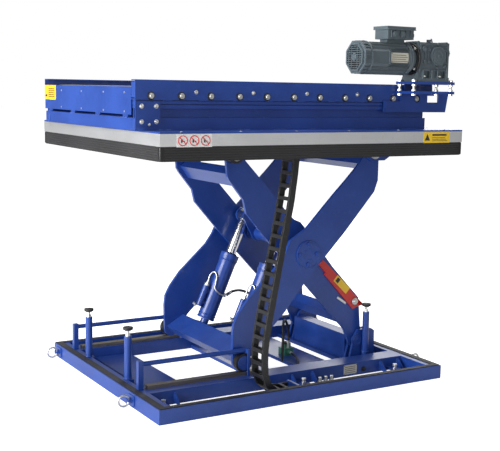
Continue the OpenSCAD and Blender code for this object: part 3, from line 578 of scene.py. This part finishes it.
def buildLabels(cfg):
    y0, y1, z0, z1 = cfg["endLabel"]  # on the rear part of the left end
    bm = bmesh.new()
    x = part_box("conveyor_subframe")[0].x / mm
    addSign(bm, "x", x, y0, y1 - 12, z0, z1, 0)
    for k in range(5):
        addSign(bm, "x", x - 0.5, y0 + 22, y0 + 120, z0 + 14 + 11 * k, z0 + 18 + 11 * k, 1)
    addSign(bm, "x", x - 0.5, y0 + 140, y0 + 168, z0 + 16, z0 + 28, 1)
    finishPiece("endPanelLabel", bm, ["yellowLabel", "inkBlack"], "platform", 0.0002)
    x0, x1, z0, z1 = cfg["circles"]
    face = cfg["stripFace"]
    bm = bmesh.new()
    addSign(bm, "y", face, x0, x1, z0, z1, 0)
    for k in range(3):
        cx = x0 + 33 + 60 * k
        mid = (z0 + z1) / 2
        addRing(bm, (cx, face - 0.9, mid), (0, 1, 0), 23, 2.2, 32, 1)
        addBlock(bm, (cx - 9, face - 1.4, mid - 9), (cx - 2, face - 0.6, mid + 8), 2)
        addBlock(bm, (cx + 1, face - 1.4, mid - 6), (cx + 10, face - 0.6, mid - 1), 2)
        bar = addBlock(bm, (cx - 22, face - 2.0, mid - 1.6), (cx + 22, face - 1.2, mid + 1.6), 1)
        bmesh.ops.rotate(bm, cent=mmVec((cx, face, mid)), matrix=Matrix.Rotation(math.radians(45), 3, "Y"),
            verts=bar)
    finishPiece("ruleLabel", bm, ["whiteLabel", "inkRed", "inkBlack"], "platform", 0.0001)
    x0, x1, z0, z1 = cfg["edgeLabel"]
    bm = bmesh.new()
    addSign(bm, "y", face, x0, x1, z0, z1, 0)
    mid = (z0 + z1) / 2
    tri = [bm.verts.new(mmVec((x0 + 26 + 21 * math.sin(a), face - 1.0,
        mid - 4 + 24 * math.cos(a)))) for a in (0, 2.094, 4.189)]
    bm.faces.new(tri).material_index = 1
    addBlock(bm, (x0 + 60, face - 1.3, z0 + 38), (x1 - 22, face - 0.7, z0 + 47), 1)
    for k in range(3):
        addBlock(bm, (x0 + 60, face - 1.3, z0 + 10 + 8 * k),
            (x1 - 14 - 9 * k, face - 0.7, z0 + 12.5 + 8 * k), 1)
    finishPiece("edgeLabel", bm, ["yellowLabel", "inkBlack"], "platform", 0.0001)
    x0, x1, z0, z1 = cfg["typePlate"]
    bm = bmesh.new()
    plateFace = cfg["plateFace"]
    addSign(bm, "y", plateFace, x0, x1, z0, z1, 0)
    for k in range(4):
        addBlock(bm, (x0 + 8, plateFace - 1.4, z0 + 8 + 11 * k),
            (x1 - 10, plateFace - 0.6, z0 + 11 + 11 * k), 1)
    for cx in (x0 + 4, x1 - 4):
        for cz in (z0 + 4, z1 - 4):
            addRod(bm, (cx, plateFace, cz), (cx, plateFace - 2.4, cz), 2.2, 10, 1)
    finishPiece("typePlate", bm, ["platePale", "darkSteel"], "base", 0.0002)


buildLabels(labels)


def buildStrutLabel():  # sits square on the strut's outer face
    lo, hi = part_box("maintenance_strut")
    lean = Vector((hi.x - lo.x - 0.052, 0, -(hi.z - lo.z - 0.052))).normalized()
    side = Vector((-lean.z, 0, lean.x))
    centre = Vector(((lo.x + hi.x) / 2, -0.2545, (lo.z + hi.z) / 2))
    bm = bmesh.new()
    for half, high, lift, part in ((0.062, 0.022, 0.0, 0), (0.012, 0.014, 0.0006, 1)):
        mid = centre - lean * (0.04 if part else 0)
        pts = [mid + lean * sx * half + side * sz * high for sx, sz in ((-1, -1), (1, -1), (1, 1), (-1, 1))]
        front = [bm.verts.new(p + Vector((0, -0.0006 - lift, 0))) for p in pts]
        back = [bm.verts.new(p + Vector((0, 0.0006, 0))) for p in pts]
        bm.faces.new(front).material_index = part
        bm.faces.new(back[::-1]).material_index = part
        for k in range(4):
            bm.faces.new((front[k], back[k], back[(k + 1) % 4], front[(k + 1) % 4])).material_index = part
    finishPiece("strutLabel", bm, ["yellowLabel", "inkBlack"], "maintenance_strut", 0.0001)


buildStrutLabel()
print("labels placed")

# ---- conveyor fixings ----
conveyorFixings = dict(boltX=[-646 + 320 * i for i in range(5)], boltZ=1596, side=628, axisZ=1577,
    firstX=-886, pitch=160, rollers=11,
                       plateBolts=[(-934, 1455), (-858, 1455), (-934, 1528), (-858, 1528)])


def buildConveyorFixings(cfg):
    bm = bmesh.new()
    for side in (-1, 1):
        y = side * cfg["side"]
        for x in cfg["boltX"]:
            addBolt(bm, (x, y, cfg["boltZ"]), (0, side, 0), 15)
    for x, z in cfg["plateBolts"]:
        addBolt(bm, (x, -630, z), (0, -1, 0), 17, socket=True)
    addBolt(bm, (-895, -628, 1442), (0, -1, 0), 11)
    for y in (-560, -300, 0, 300):
        for z in (1500, 1590):
            addRod(bm, (-966, y + 60, z), (-967.5, y + 60, z), 5, 12)
    finishPiece("conveyorBolts", bm, ["zincSteel"], "platform", 0.0005)
    bm = bmesh.new()
    axisZ = cfg["axisZ"]
    rollerX = [cfg["firstX"] + cfg["pitch"] * i for i in range(cfg["rollers"])]
    for x in rollerX:
        for side in (-1, 1):
            addRing(bm, (x, side * cfg["side"] + side, axisZ), (0, 1, 0), 17, 2.4, 28, 1)
            addRod(bm, (x, side * 637, axisZ), (x, side * 639.4, axisZ), 9.5, 20, 0, 8)
    finishPiece("shaftWashers", bm, ["zincSteel", "blackPlastic"], "platform", 0.0004)
    bm = bmesh.new()
    for x in rollerX:
        for side in (-1, 1):
            addRod(bm, (x, side * 579.3, axisZ), (x, side * 583, axisZ), 36, 36, 0, 33)
            addRing(bm, (x, side * 583, axisZ), (0, 1, 0), 27, 2.2, 32, 0)
    finishPiece("rollerSeals", bm, ["blackPlastic"], "platform", 0.0006)
    bm = bmesh.new()
    for side in (-1, 1):
        y = side * 624
        for i in range(9):
            x = -820 + 190 * i
            addBead(bm, (x, y, 1556.5), (x + 46, y, 1556.5), 3.2, i)
        for i in range(8):
            x = -840 + 215 * i
            addBead(bm, (x, y + side * -3, 1414.5), (x + 70, y + side * -3, 1414.5), 3.2, i + 4)
    for side in (-1, 1):
        for x in (-560, -250, 60, 370, 640):
            addBead(bm, (x, side * 598, 1473.5), (x + 52, side * 598, 1473.5), 4, x % 5)
    for i, y in enumerate((-530, -180, 170, 520)):
        addBead(bm, (-962, y, 1473), (-962, y + 60, 1473), 3.2, i)
    finishPiece("conveyorWelds", bm, ["bluePaint"], "platform", 0)
    bm = bmesh.new()
    for side in (-1, 1):
        ys = sorted((side * 619, side * 561))
        for x0, x1 in ((-963, -957), (784, 790.5)):
            addBlock(bm, (x0, ys[0], 1414), (x1, ys[1], 1471))
            addBlock(bm, (x0 - 1, ys[0] + 8, 1421), (x0 + 2, ys[1] - 8, 1464))
    finishPiece("beamEndCaps", bm, ["bluePaint"], "platform", 0.0012)


buildConveyorFixings(conveyorFixings)
print("conveyor fixings built")

# ---- platform trim ----


def buildPlatformTrim():
    lo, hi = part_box("edge_strip")
    x0, y0, x1, y1 = lo.x / mm, lo.y / mm, hi.x / mm, hi.y / mm
    for name, finish, slot, inset, reach, z0, z1, bevel in (
            ("cornerPosts", "bluePaint", "blue_paint", 0.2, 16, 1346, 1404.6, 0.003),
            ("bumperCorners", "blackPlastic", "black_rubber", 0.1, 44, 1277, 1346, 0.006)):
        bm = bmesh.new()
        for x in (x0, x1):
            for y in (y0, y1):
                sx, sy = (1 if x < 0 else -1), (1 if y < 0 else -1)
                xs = sorted((x + sx * inset, x + sx * reach))
                ys = sorted((y + sy * inset, y + sy * reach))
                addBlock(bm, (xs[0], ys[0], z0), (xs[1], ys[1], z1), 0)
        finishPiece(name, bm, [finish], "platform", bevel)
    bm = bmesh.new()
    deckZ = 1413  # top face of the platform plate
    for y in (y0 + 14, y1 - 14):
        for i in range(6):
            x = -800 + 320 * i
            addRod(bm, (x, y, deckZ), (x, y, deckZ + 2.5), 7, 18, 0, 5.5)
    x = x1 - 60
    for y in (-560, -190, 190, 560):
        addRod(bm, (x, y, deckZ), (x, y, deckZ + 2.5), 7, 18, 0, 5.5)
    finishPiece("deckScrews", bm, ["zincSteel"], "platform", 0.0004)


buildPlatformTrim()

# ---- gearmotor ----
gearmotor = dict(y=-715, z=1788, fan=230, caseFront=-777, gearX=597, gearEnd=807, shaft=(725, 1806))


def buildGearmotor(cfg):
    y, z, x0 = cfg["y"], cfg["z"], cfg["fan"]
    bm = bmesh.new()
    for k in range(-5, 6):  # grille bars across the fan opening
        half = 62 if abs(k) < 3 else 62 - 11 * (abs(k) - 2)
        addBlock(bm, (x0 - 8, y - half, z + 11 * k - 2.2), (x0 + 1, y + half, z + 11 * k + 2.2))
    for k in (-2, -1, 1, 2):
        addBlock(bm, (x0 - 7, y + 24 * k - 2, z - 52), (x0 - 1, y + 24 * k + 2, z + 52))
    addOctagon(bm, x0 - 9, x0 + 3, y, z, 71, 62)
    addOctagon(bm, x0 + 2, x0 + 12, y, z, 84, 68)
    addRod(bm, (x0 - 9.5, y, z), (x0 - 1, y, z), 20, 32)
    addRing(bm, (x0 - 9, y, z), (1, 0, 0), 15, 2, 28)
    addOctagon(bm, x0 - 1.4, x0 - 0.2, y, z, 63, 0, 1)
    for k in range(24):  # ribs that fan back over the cowl's shoulder
        a = 2 * math.pi * (k + 0.5) / 24
        rib = addBlock(bm, (x0 + 4, y + 78, z - 1.8), (x0 + 45, y + 86, z + 1.8))
        bmesh.ops.rotate(bm, cent=mmVec((0, y, z)), matrix=Matrix.Rotation(a, 3, "X"), verts=rib)
    finishPiece("fanGrille", bm, ["greyPaint", "blackPlastic"], "platform", 0.0010)
    bm = bmesh.new()
    for h in (36, 42, 48, 54, -36, -42, -48, -54, -60):  # heavy fins above and below the nameplate
        reach = 84 if abs(h) < 35 else 84 - (abs(h) - 35) * 0.98
        for side in (-1, 1):
            ys = sorted((y + side * (reach - 8), y + side * (reach + 0.8)))
            addBlock(bm, (x0 + 168, ys[0], z + h - 1.5), (x0 + 290, ys[1], z + h + 1.5))
    for side in (-1, 1):
        ys = sorted((y + side * 70, y + side * 84.6))
        addBlock(bm, (x0 + 158, ys[0], z - 33), (x0 + 167, ys[1], z + 33))
        addBlock(bm, (x0 + 290, ys[0], z - 33), (x0 + 299, ys[1], z + 33))
    for k in range(4):  # lugs where the fan cowl is screwed on
        a = math.radians(45 + 90 * k)
        addRod(bm, (x0 + 40, y + 80 * math.cos(a), z + 80 * math.sin(a)),
            (x0 + 58, y + 80 * math.cos(a), z + 80 * math.sin(a)), 8, 16)
    for k in range(9):
        off = -64 + 16 * k
        reach = math.sqrt(max(1, 86 ** 2 - off ** 2))
        addBlock(bm, (x0 + 60, y + off - 1.3, z - reach - 0.6), (x0 + 292, y + off + 1.3, z - reach + 12))
        if abs(off) > 30:
            addBlock(bm, (x0 + 60, y + off - 1.3, z + reach - 12), (x0 + 292, y + off + 1.3, z + reach + 0.6))
    for x in (x0 + 300, x0 + 315):
        addRing(bm, (x, y, z), (1, 0, 0), 85, 2.4, 48)
    finishPiece("coolingFins", bm, ["greyPaint"], "platform", 0.0006)
    bm = bmesh.new()
    face = y - 78.4
    addBlock(bm, (402, face - 1.6, 1764), (516, face + 8, 1815), 0)
    for k in range(4):
        addBlock(bm, (408, face - 2.2, 1770 + 10.5 * k), (510 - 11 * (k % 2), face - 1.2, 1772.5 + 10.5 * k),
            1)
    for x in (406, 512):
        for h in (1768, 1811):
            addRod(bm, (x, face - 1, h), (x, face - 3.0, h), 2.2, 10, 1)
    finishPiece("motorPlate", bm, ["platePale", "darkSteel"], "platform", 0.0004)
    lo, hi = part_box("terminal_box")
    bx0, bx1, by0, by1, top = lo.x / mm, hi.x / mm, lo.y / mm, hi.y / mm, hi.z / mm
    bm = bmesh.new()
    addBlock(bm, (bx0 + 12, by0 + 12, top - 5), (bx1 - 12, by1 - 12, top - 0.4))
    addBlock(bm, (bx0 + 36, by0 + 30, top - 4), (bx1 - 36, by1 - 30, top - 0.2))
    addBlock(bm, (bx0 - 1.2, by0 - 0.6, top - 18), (bx1 + 1.2, by1 + 0.6, top - 15))
    finishPiece("boxLid", bm, ["greyPaint"], "platform", 0.0016)
    bm = bmesh.new()
    for x in (bx0 + 14, bx1 - 14):
        for yy in (by0 + 13, by1 - 13):
            addBolt(bm, (x, yy, top - 9.6), (0, 0, 1), 9, washer=False, socket=True)
    finishPiece("boxScrews", bm, ["zincSteel"], "platform", 0.0005)
    bm = bmesh.new()
    for x in (435, 487):  # blanking plugs on the box's front, one more at the gearbox end
        addRod(bm, (x, by0 + 2, 1910), (x, by0 - 4, 1910), 14, 6)
        addRod(bm, (x, by0 - 3, 1910), (x, by0 - 5.5, 1910), 9, 24, 0, 8)
        addRing(bm, (x, by0 - 3.5, 1910), (0, 1, 0), 11, 1.4, 28)
    addRod(bm, (bx1 - 10, by0 + 30, 1908), (bx1 + 1, by0 + 30, 1908), 15, 6)
    addRod(bm, (bx1 - 10, by0 + 70, 1908), (bx1 + 1, by0 + 70, 1908), 15, 6)
    for k in range(5):
        x = bx0 + 26 + 32 * k
        addBlock(bm, (x - 1.5, by0 + 3, 1893), (x + 1.5, by0 + 9, 1932))
    finishPiece("boxPlugs", bm, ["greyPaint"], "platform", 0.0006)
    sx, sz = cfg["shaft"]
    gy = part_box("gearbox")[0].y / mm
    bm = bmesh.new()
    addRing(bm, (sx, gy + 1.5, sz), (0, 1, 0), 47, 3, 44)
    addRod(bm, (sx, gy - 1.5, sz), (sx, gy + 2, sz), 36, 40, 0, 38)
    addRing(bm, (sx, gy - 1, sz), (0, 1, 0), 24, 2, 36)
    addRod(bm, (sx, gy - 4, sz), (sx, gy, sz), 9, 6)
    front = cfg["caseFront"]
    for k in range(6):
        a = math.radians(30 + 60 * k)
        at = (sx + 61 * math.cos(a), sz + 61 * math.sin(a))
        addRod(bm, (at[0], front + 4, at[1]), (at[0], front - 5, at[1]), 10, 20, 0, 8)
        addRod(bm, (at[0], front - 4, at[1]), (at[0], front - 9, at[1]), 6, 6)
    for k in range(4):  # webs that run from the cover to the case's corners
        web = addBlock(bm, (58, front - 4, -3), (96, front + 3, 3))
        bmesh.ops.rotate(bm, cent=(0, 0, 0), matrix=Matrix.Rotation(math.radians(-20 - 90 * k), 3, "Y"),
            verts=web)
        bmesh.ops.translate(bm, vec=mmVec((sx - 14, 0, sz)), verts=web)
    for x in (618, 640, 662):  # short ribs beside the motor flange
        addBlock(bm, (x - 3, front - 4, 1760), (x + 3, front + 3, 1852))
    addRod(bm, (636, front + 3, 1838), (636, front - 8, 1838), 15, 28, 0, 13)
    addRod(bm, (636, front - 7, 1838), (636, front - 11, 1838), 8, 6)
    addRod(bm, (640, front + 3, 1772), (640, front - 7, 1772), 11, 6)
    for x, z0 in ((605, 1872), (800, 1872)):
        addRod(bm, (x, y - 50, z0), (x, y + 50, z0), 11, 20)
    for x in (655, 755):
        addBlock(bm, (x - 34, -790.5, 1684), (x - 27, -776, 1732))
        addBlock(bm, (x + 27, -790.5, 1684), (x + 34, -776, 1732))
    for x in (cfg["gearX"] + 12, cfg["gearEnd"] - 12):  # ribs down the case
        addBlock(bm, (x - 5, front - 5, 1724), (x + 5, front + 3, 1868))
    addBlock(bm, (cfg["gearX"] + 16, front - 5, 1862), (cfg["gearEnd"] - 16, front + 3, 1870))
    addBlock(bm, (cfg["gearX"] + 16, front - 4, 1728), (cfg["gearEnd"] - 16, front + 3, 1736))
    addRod(bm, (cfg["gearX"] + 34, front + 2, 1846), (cfg["gearX"] + 34, front - 9, 1846), 12, 24, 0, 10)
    addRod(bm, (cfg["gearEnd"] - 30, front + 2, 1752), (cfg["gearEnd"] - 30, front - 7, 1752), 9, 6)
    finishPiece("gearCaseDetail", bm, ["greyPaint"], "platform", 0.0018)
    bm = bmesh.new()
    addRing(bm, (cfg["gearX"] - 4, y, z), (1, 0, 0), 78, 7, 44, 0)
    addRing(bm, (cfg["gearX"] - 13, y, z), (1, 0, 0), 72, 5, 44, 0)
    for k in range(4):
        a = math.radians(45 + 90 * k)
        addBolt(bm, (cfg["gearX"] - 18, y + 74 * math.cos(a), z + 74 * math.sin(a)), (-1, 0, 0), 12, 1)
    finishPiece("flangeRing", bm, ["blackPlastic", "zincSteel"], "platform", 0.0008)
    bm = bmesh.new()
    for x in (cfg["gearX"] + 52, cfg["gearEnd"] - 52):
        addBolt(bm, (x, -766, 1694), (0, 0, 1), 20)
    addRod(bm, (715, y, 1885), (715, y, 1893.5), 9, 6)
    addBolt(bm, (cfg["gearEnd"] + 14, y - 40, 1823), (1, 0, 0), 13, washer=False)
    finishPiece("gearCaseBolts", bm, ["zincSteel"], "platform", 0.0008)


buildGearmotor(gearmotor)
print("gearmotor detailed")

# ---- hydraulics ----
cylinder = dict(foot=(-109.97, 175.10), lean=(0.400532, 0.916283), offset=225, midY=75, barrelR=52.5)


# s along the ram, n square to it towards the upper left, y from its middle
def onCylinder(cfg, s, n, y, side):
    ux, uz = cfg["lean"]
    return Vector((cfg["foot"][0] + ux * s - uz * n, cfg["midY"] + side * cfg["offset"] + y,
        cfg["foot"][1] + uz * s + ux * n))


def buildCylinder(cfg, side, tag):
    def at(s, n, y=0):
        return onCylinder(cfg, s, n, y, side)
    bm = bmesh.new()
    axis = at(1, 0) - at(0, 0)
    for s in (68, 88, 436):
        addRing(bm, at(s, 0), axis, cfg["barrelR"] + 0.6, 3.4, 44, 0)
    for s in (444, 478):
        addRing(bm, at(s, 0), axis, cfg["barrelR"] + 4.0, 1.6, 44, 0)
    addRing(bm, at(484, 0), axis, 34, 5, 40, 1)
    for s in (122, 248):
        addRing(bm, at(s, 75.5), axis, 19, 2.6, 28, 0)
    addRod(bm, at(248, 75.5), at(262, 75.5), 14, 6, 2)
    addRod(bm, at(262, 75.5), at(278, 75.5), 9, 16, 2)
    finishPiece("cylinderTrim" + tag, bm, ["bluePaint", "blackRubber", "zincSteel"],
        "cylinder_barrel_" + tag, 0.0006)
    bm = bmesh.new()
    for s, n in ((118, 96), (236, -58)):
        a, b = at(s, n), at(s + 4, n + (10 if n > 0 else -10))
        addRod(bm, a, b, 10, 6, 0)
        addRod(bm, b, at(s + 6, n + (22 if n > 0 else -22)), 7.5, 16, 0)
    finishPiece("cylinderFittings" + tag, bm, ["zincSteel"], "cylinder_barrel_" + tag, 0.0006)
    route = [at(276, 75.5), at(322, 77), at(342, 66, -12), at(330, 54, -30), at(286, 47, -42),
             at(250, 42, -50), at(234, 16, -62), at(228, -18, -62), at(226, -46, -46), at(228, -66, -18)]
    addHose("cylinderPipe" + tag, route, 4.5, "zincSteel", "cylinder_barrel_" + tag)


for tagName, sideSign in (("front", -1), ("rear", 1)):
    buildCylinder(cylinder, sideSign, tagName)


def buildHoses(cfg):
    a = onCylinder(cfg, 242, -80, 0, -1)
    b = onCylinder(cfg, 242, -80, 0, 1)
    bOut, aOut = b + Vector((22, -34, 26)), a + Vector((22, 44, 34))
    addHose("crossHose", [b, bOut, (b + a) / 2 + Vector((34, 0, 46)), aOut, a], 8,
            "hoseRubber", "cylinder_barrel_front")
    bm = bmesh.new()
    for end, other in ((b, bOut), (a, aOut)):
        addRod(bm, end, end + (other - end) * 0.45, 10.5, 6, 0)
        addRod(bm, end + (other - end) * 0.4, end + (other - end) * 0.95, 9.5, 20, 0, 8.5)
    finishPiece("hoseFerrules", bm, ["zincSteel"], "cylinder_barrel_front", 0.0006)
    addHose("valveHose", [(345, 35, 92), (345, 35, 150), (325, 20, 210), (280, -20, 250), (240, -70, 240),
        (215, -110, 190), (200, -130, 120), (190, -140, 40)], 8,
            "hoseRubber", "base")
    addHose("supplyHose", [(335, -8, 42), (330, -60, 38), (300, -140, 34), (240, -220, 30), (160, -262, 34),
        (60, -270, 34)], 7,
            "hoseRubber", "base")
    bm = bmesh.new()
    addRod(bm, (345, 35, 62), (345, 35, 90), 12, 6, 0)
    addRod(bm, (345, 35, 90), (345, 35, 106), 10, 20, 0)
    addRod(bm, (325, 47, 84), (325, 47, 90), 15, 24, 1)
    addRod(bm, (325, 47, 90), (325, 47, 100), 17, 12, 1, 14)
    addRod(bm, (335, -8, 42), (335, -22, 41), 10, 6, 0)
    finishPiece("valveFittings", bm, ["zincSteel", "blackPlastic"], "base", 0.0008)


buildHoses(cylinder)
print("hydraulics built")

# ---- scissor details ----
scissor = dict(centre=(208.387, 704.510), pivot=(636, 144), rollerX=-219.226, inner=316, midY=75,
    strutPin=(618.28, 378.26))


def buildScissorDetails(cfg):
    cx, cz = cfg["centre"]
    lo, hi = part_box("centre_pins")
    bm = bmesh.new()
    for side, y in ((-1, lo.y / mm), (1, hi.y / mm)):
        for k in range(4):
            a = math.radians(90 * k)
            addRing(bm, (cx + 57 * math.cos(a), y - side * 0.6, cz + 57 * math.sin(a)), (0, 1, 0), 8, 1.6,
                24, 0)
        addRing(bm, (cx, y - side * 10, cz), (0, 1, 0), 31, 1.8, 40, 0)
        addRing(bm, (cx, y - side * 10, cz), (0, 1, 0), 76, 1.6, 64, 0)
    finishPiece("centrePinRings", bm, ["bluePaint"], "outer_arms", 0)
    bm = bmesh.new()
    pinX, pinZ = cfg["strutPin"]
    addBolt(bm, (pinX, -259.6, pinZ), (0, -1, 0), 26)
    addRing(bm, (pinX, -260, pinZ), (0, 1, 0), 19, 1.8, 32)
    finishPiece("strutBolt", bm, ["zincSteel"], "inner_arms", 0.0008)
    bm = bmesh.new()
    bar = addBlock(bm, (-38, -246, -7), (38, -240.5, 7), 0)
    for x in (-30, 30):
        bar += addRod(bm, (x, -245, 0), (x, -248.5, 0), 4.5, 14, 0)
    bmesh.ops.rotate(bm, cent=(0, 0, 0), matrix=Matrix.Rotation(math.radians(33.5), 3, "Y"), verts=bar)
    bmesh.ops.translate(bm, vec=mmVec((531, 0, 390)), verts=bar)
    finishPiece("armStop", bm, ["zincSteel"], "inner_arms", 0.0010)
    px, pz = cfg["pivot"]
    x = cfg["rollerX"]
    bm = bmesh.new()
    for side in (-1, 1):
        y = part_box("lower_roller_axles")[0 if side < 0 else 1].y / mm
        addRod(bm, (x, y - side * 6, pz), (x, y - side * 1, pz), 37, 40, 0, 36)
        addRing(bm, (x, y - side * 1.5, pz), (0, 1, 0), 27, 2.2, 40, 0)
        addRing(bm, (x, y - side * 1.5, pz), (0, 1, 0), 15, 2.0, 32, 0)
        addRod(bm, (x, y - side * 1, pz), (x, y + side * 1.5, pz), 7, 6, 1)
    finishPiece("rollerHubs", bm, ["bluePaint", "bluePaint"], "outer_arms", 0.0008)
    bm = bmesh.new()
    for side in (-1, 1):
        y = cfg["midY"] + side * (cfg["inner"] + 4 + 17 + 6)
        addRing(bm, (px, y, pz), (0, 1, 0), 26, 2.0, 36, 0)
        addRod(bm, (px, y - side * 1, pz), (px, y + side * 3, pz), 6, 6, 0)
    finishPiece("basePinCaps", bm, ["bluePaint"], "base", 0.0005)


buildScissorDetails(scissor)


def buildBaseDetails():
    bm = bmesh.new()
    frontFace = -465
    addRod(bm, (540, frontFace + 1, 30), (540, frontFace - 5, 30), 13, 6, 0)
    addRod(bm, (540, frontFace - 4, 30), (540, frontFace - 16, 30), 10, 24, 0, 7)
    addRing(bm, (540, frontFace - 1, 30), (0, 1, 0), 13, 1.6, 28, 0)
    finishPiece("cableGland", bm, ["blackPlastic"], "base", 0.0006)
    bm = bmesh.new()
    for k in range(3):
        x = 187 + 38 * k
        addRod(bm, (x, -540, 14), (x, -540, 46), 9, 20, 0)
        addRing(bm, (x, -540, 46), (0, 0, 1), 8, 2.0, 24, 0)
        addRod(bm, (x, -540, 18), (x, -540, 28), 13, 6, 0)
    addBlock(bm, (170, -560, 6), (282, -520, 15), 1)
    finishPiece("pipeStubs", bm, ["zincSteel", "bluePaint"], "base", 0.0008)
    bm = bmesh.new()
    beam = [-670, 54, 183, 660, 785]
    for i, x in enumerate(beam):
        for s in (-1, 1):
            addBead(bm, (x + s * 4, -465.5, 10), (x + s * 4, -465.5, 60), 2.6, i + s)
    for side in (-1, 1):
        y = 75 + side * 457
        addBead(bm, (-842, y - 14, 76.5), (-842, y + 14, 76.5), 3, 2)
        addBead(bm, (-812, y - 14, 76.5), (-812, y + 14, 76.5), 3, 3)
    for i, y in enumerate((-735, 735)):
        s = 1 if y > 0 else -1
        for x in (-810, 810):
            addBead(bm, (x, y - s * 4, 76), (x, y - s * 44, 76), 2.0, i)
    finishPiece("baseWelds", bm, ["bluePaint"], "base", 0)
    bm = bmesh.new()
    for x, y, z in ((-800, -169, 306), (-818, 341, 306), (682, -288, 316), (682, 438, 316)):
        addRing(bm, (x, y, z), (0, 0, 1), 18.6, 1.6, 32, 0)
        addRing(bm, (x, y, 79 if x < 0 else 76), (0, 0, 1), 21, 2.6, 32, 0)
    finishPiece("postCollars", bm, ["bluePaint"], "base", 0)


buildBaseDetails()
print("base details built")

# ---- floor and light ----
floorCfg = dict(size=60.0, colour=(0.80, 0.80, 0.80), glow=0.86)


def buildFloor(cfg):
    bm = bmesh.new()
    bmesh.ops.create_circle(bm, cap_ends=True, segments=96, radius=cfg["size"])
    mesh = bpy.data.meshes.new("studioFloor")
    bm.to_mesh(mesh)
    bm.free()
    m, t, s = startMaterial("paleFloor")
    grain = placeGroup(t, grainGroup, **{"Blotch Scale": 0.8, "Grain Scale": 90.0})
    low = tuple(c * 0.985 for c in cfg["colour"])
    join(t, mixColours(t, grain.outputs["Blotch"], low, cfg["colour"]), s.inputs["Base Color"])
    join(t, mathNode(t, "ADD", 0.8, mathNode(t, "MULTIPLY", grain.outputs["Grain"], 0.1)),
        s.inputs["Roughness"])
    s.inputs["Emission Color"].default_value = (1, 1, 1, 1)
    join(t, mathNode(t, "MULTIPLY", t.nodes.new("ShaderNodeLightPath").outputs["Is Camera Ray"],
        cfg["glow"]), s.inputs["Emission Strength"])
    mesh.materials.append(m)
    obj = bpy.data.objects.new("studioFloor", mesh)
    obj.location.z = -0.0015
    scene.collection.objects.link(obj)


buildFloor(floorCfg)

worldCfg = dict(backdrop=1.0, ambient=0.24)
lights = dict(key=dict(place=(-7.0, -0.6, 2.4), size=4.6, power=760),
    fill=dict(place=(-1.5, -8.5, 2.2), size=6.0, power=120),
              top=dict(place=(0.4, 0.2, 6.0), size=4.0, power=230),
                  back=dict(place=(4.5, 5.0, 3.5), size=4.0, power=120))


def addLights(cfg):
    for name, c in cfg.items():
        data = bpy.data.lights.new(name + "Light", "AREA")
        data.shape = "SQUARE"
        data.size = c["size"]
        data.energy = c["power"]
        obj = bpy.data.objects.new(name + "Light", data)
        obj.location = c["place"]
        obj.rotation_euler = (Vector((0, 0, 0.8)) - Vector(c["place"])).to_track_quat("-Z", "Y").to_euler()
        scene.collection.objects.link(obj)
    world = bpy.data.worlds.new("studioWorld")
    world.use_nodes = True
    sky = world.node_tree
    back = sky.nodes["Background"]
    back.inputs["Color"].default_value = (1.0, 1.0, 1.0, 1)
    seen = sky.nodes.new("ShaderNodeLightPath").outputs["Is Camera Ray"]
    join(sky, mathNode(sky, "ADD", mathNode(sky, "MULTIPLY", seen,
        worldCfg["backdrop"] - worldCfg["ambient"]), worldCfg["ambient"]), back.inputs["Strength"])
    scene.world = world
    scene.view_settings.view_transform = "Standard"


addLights(lights)
print("light set")
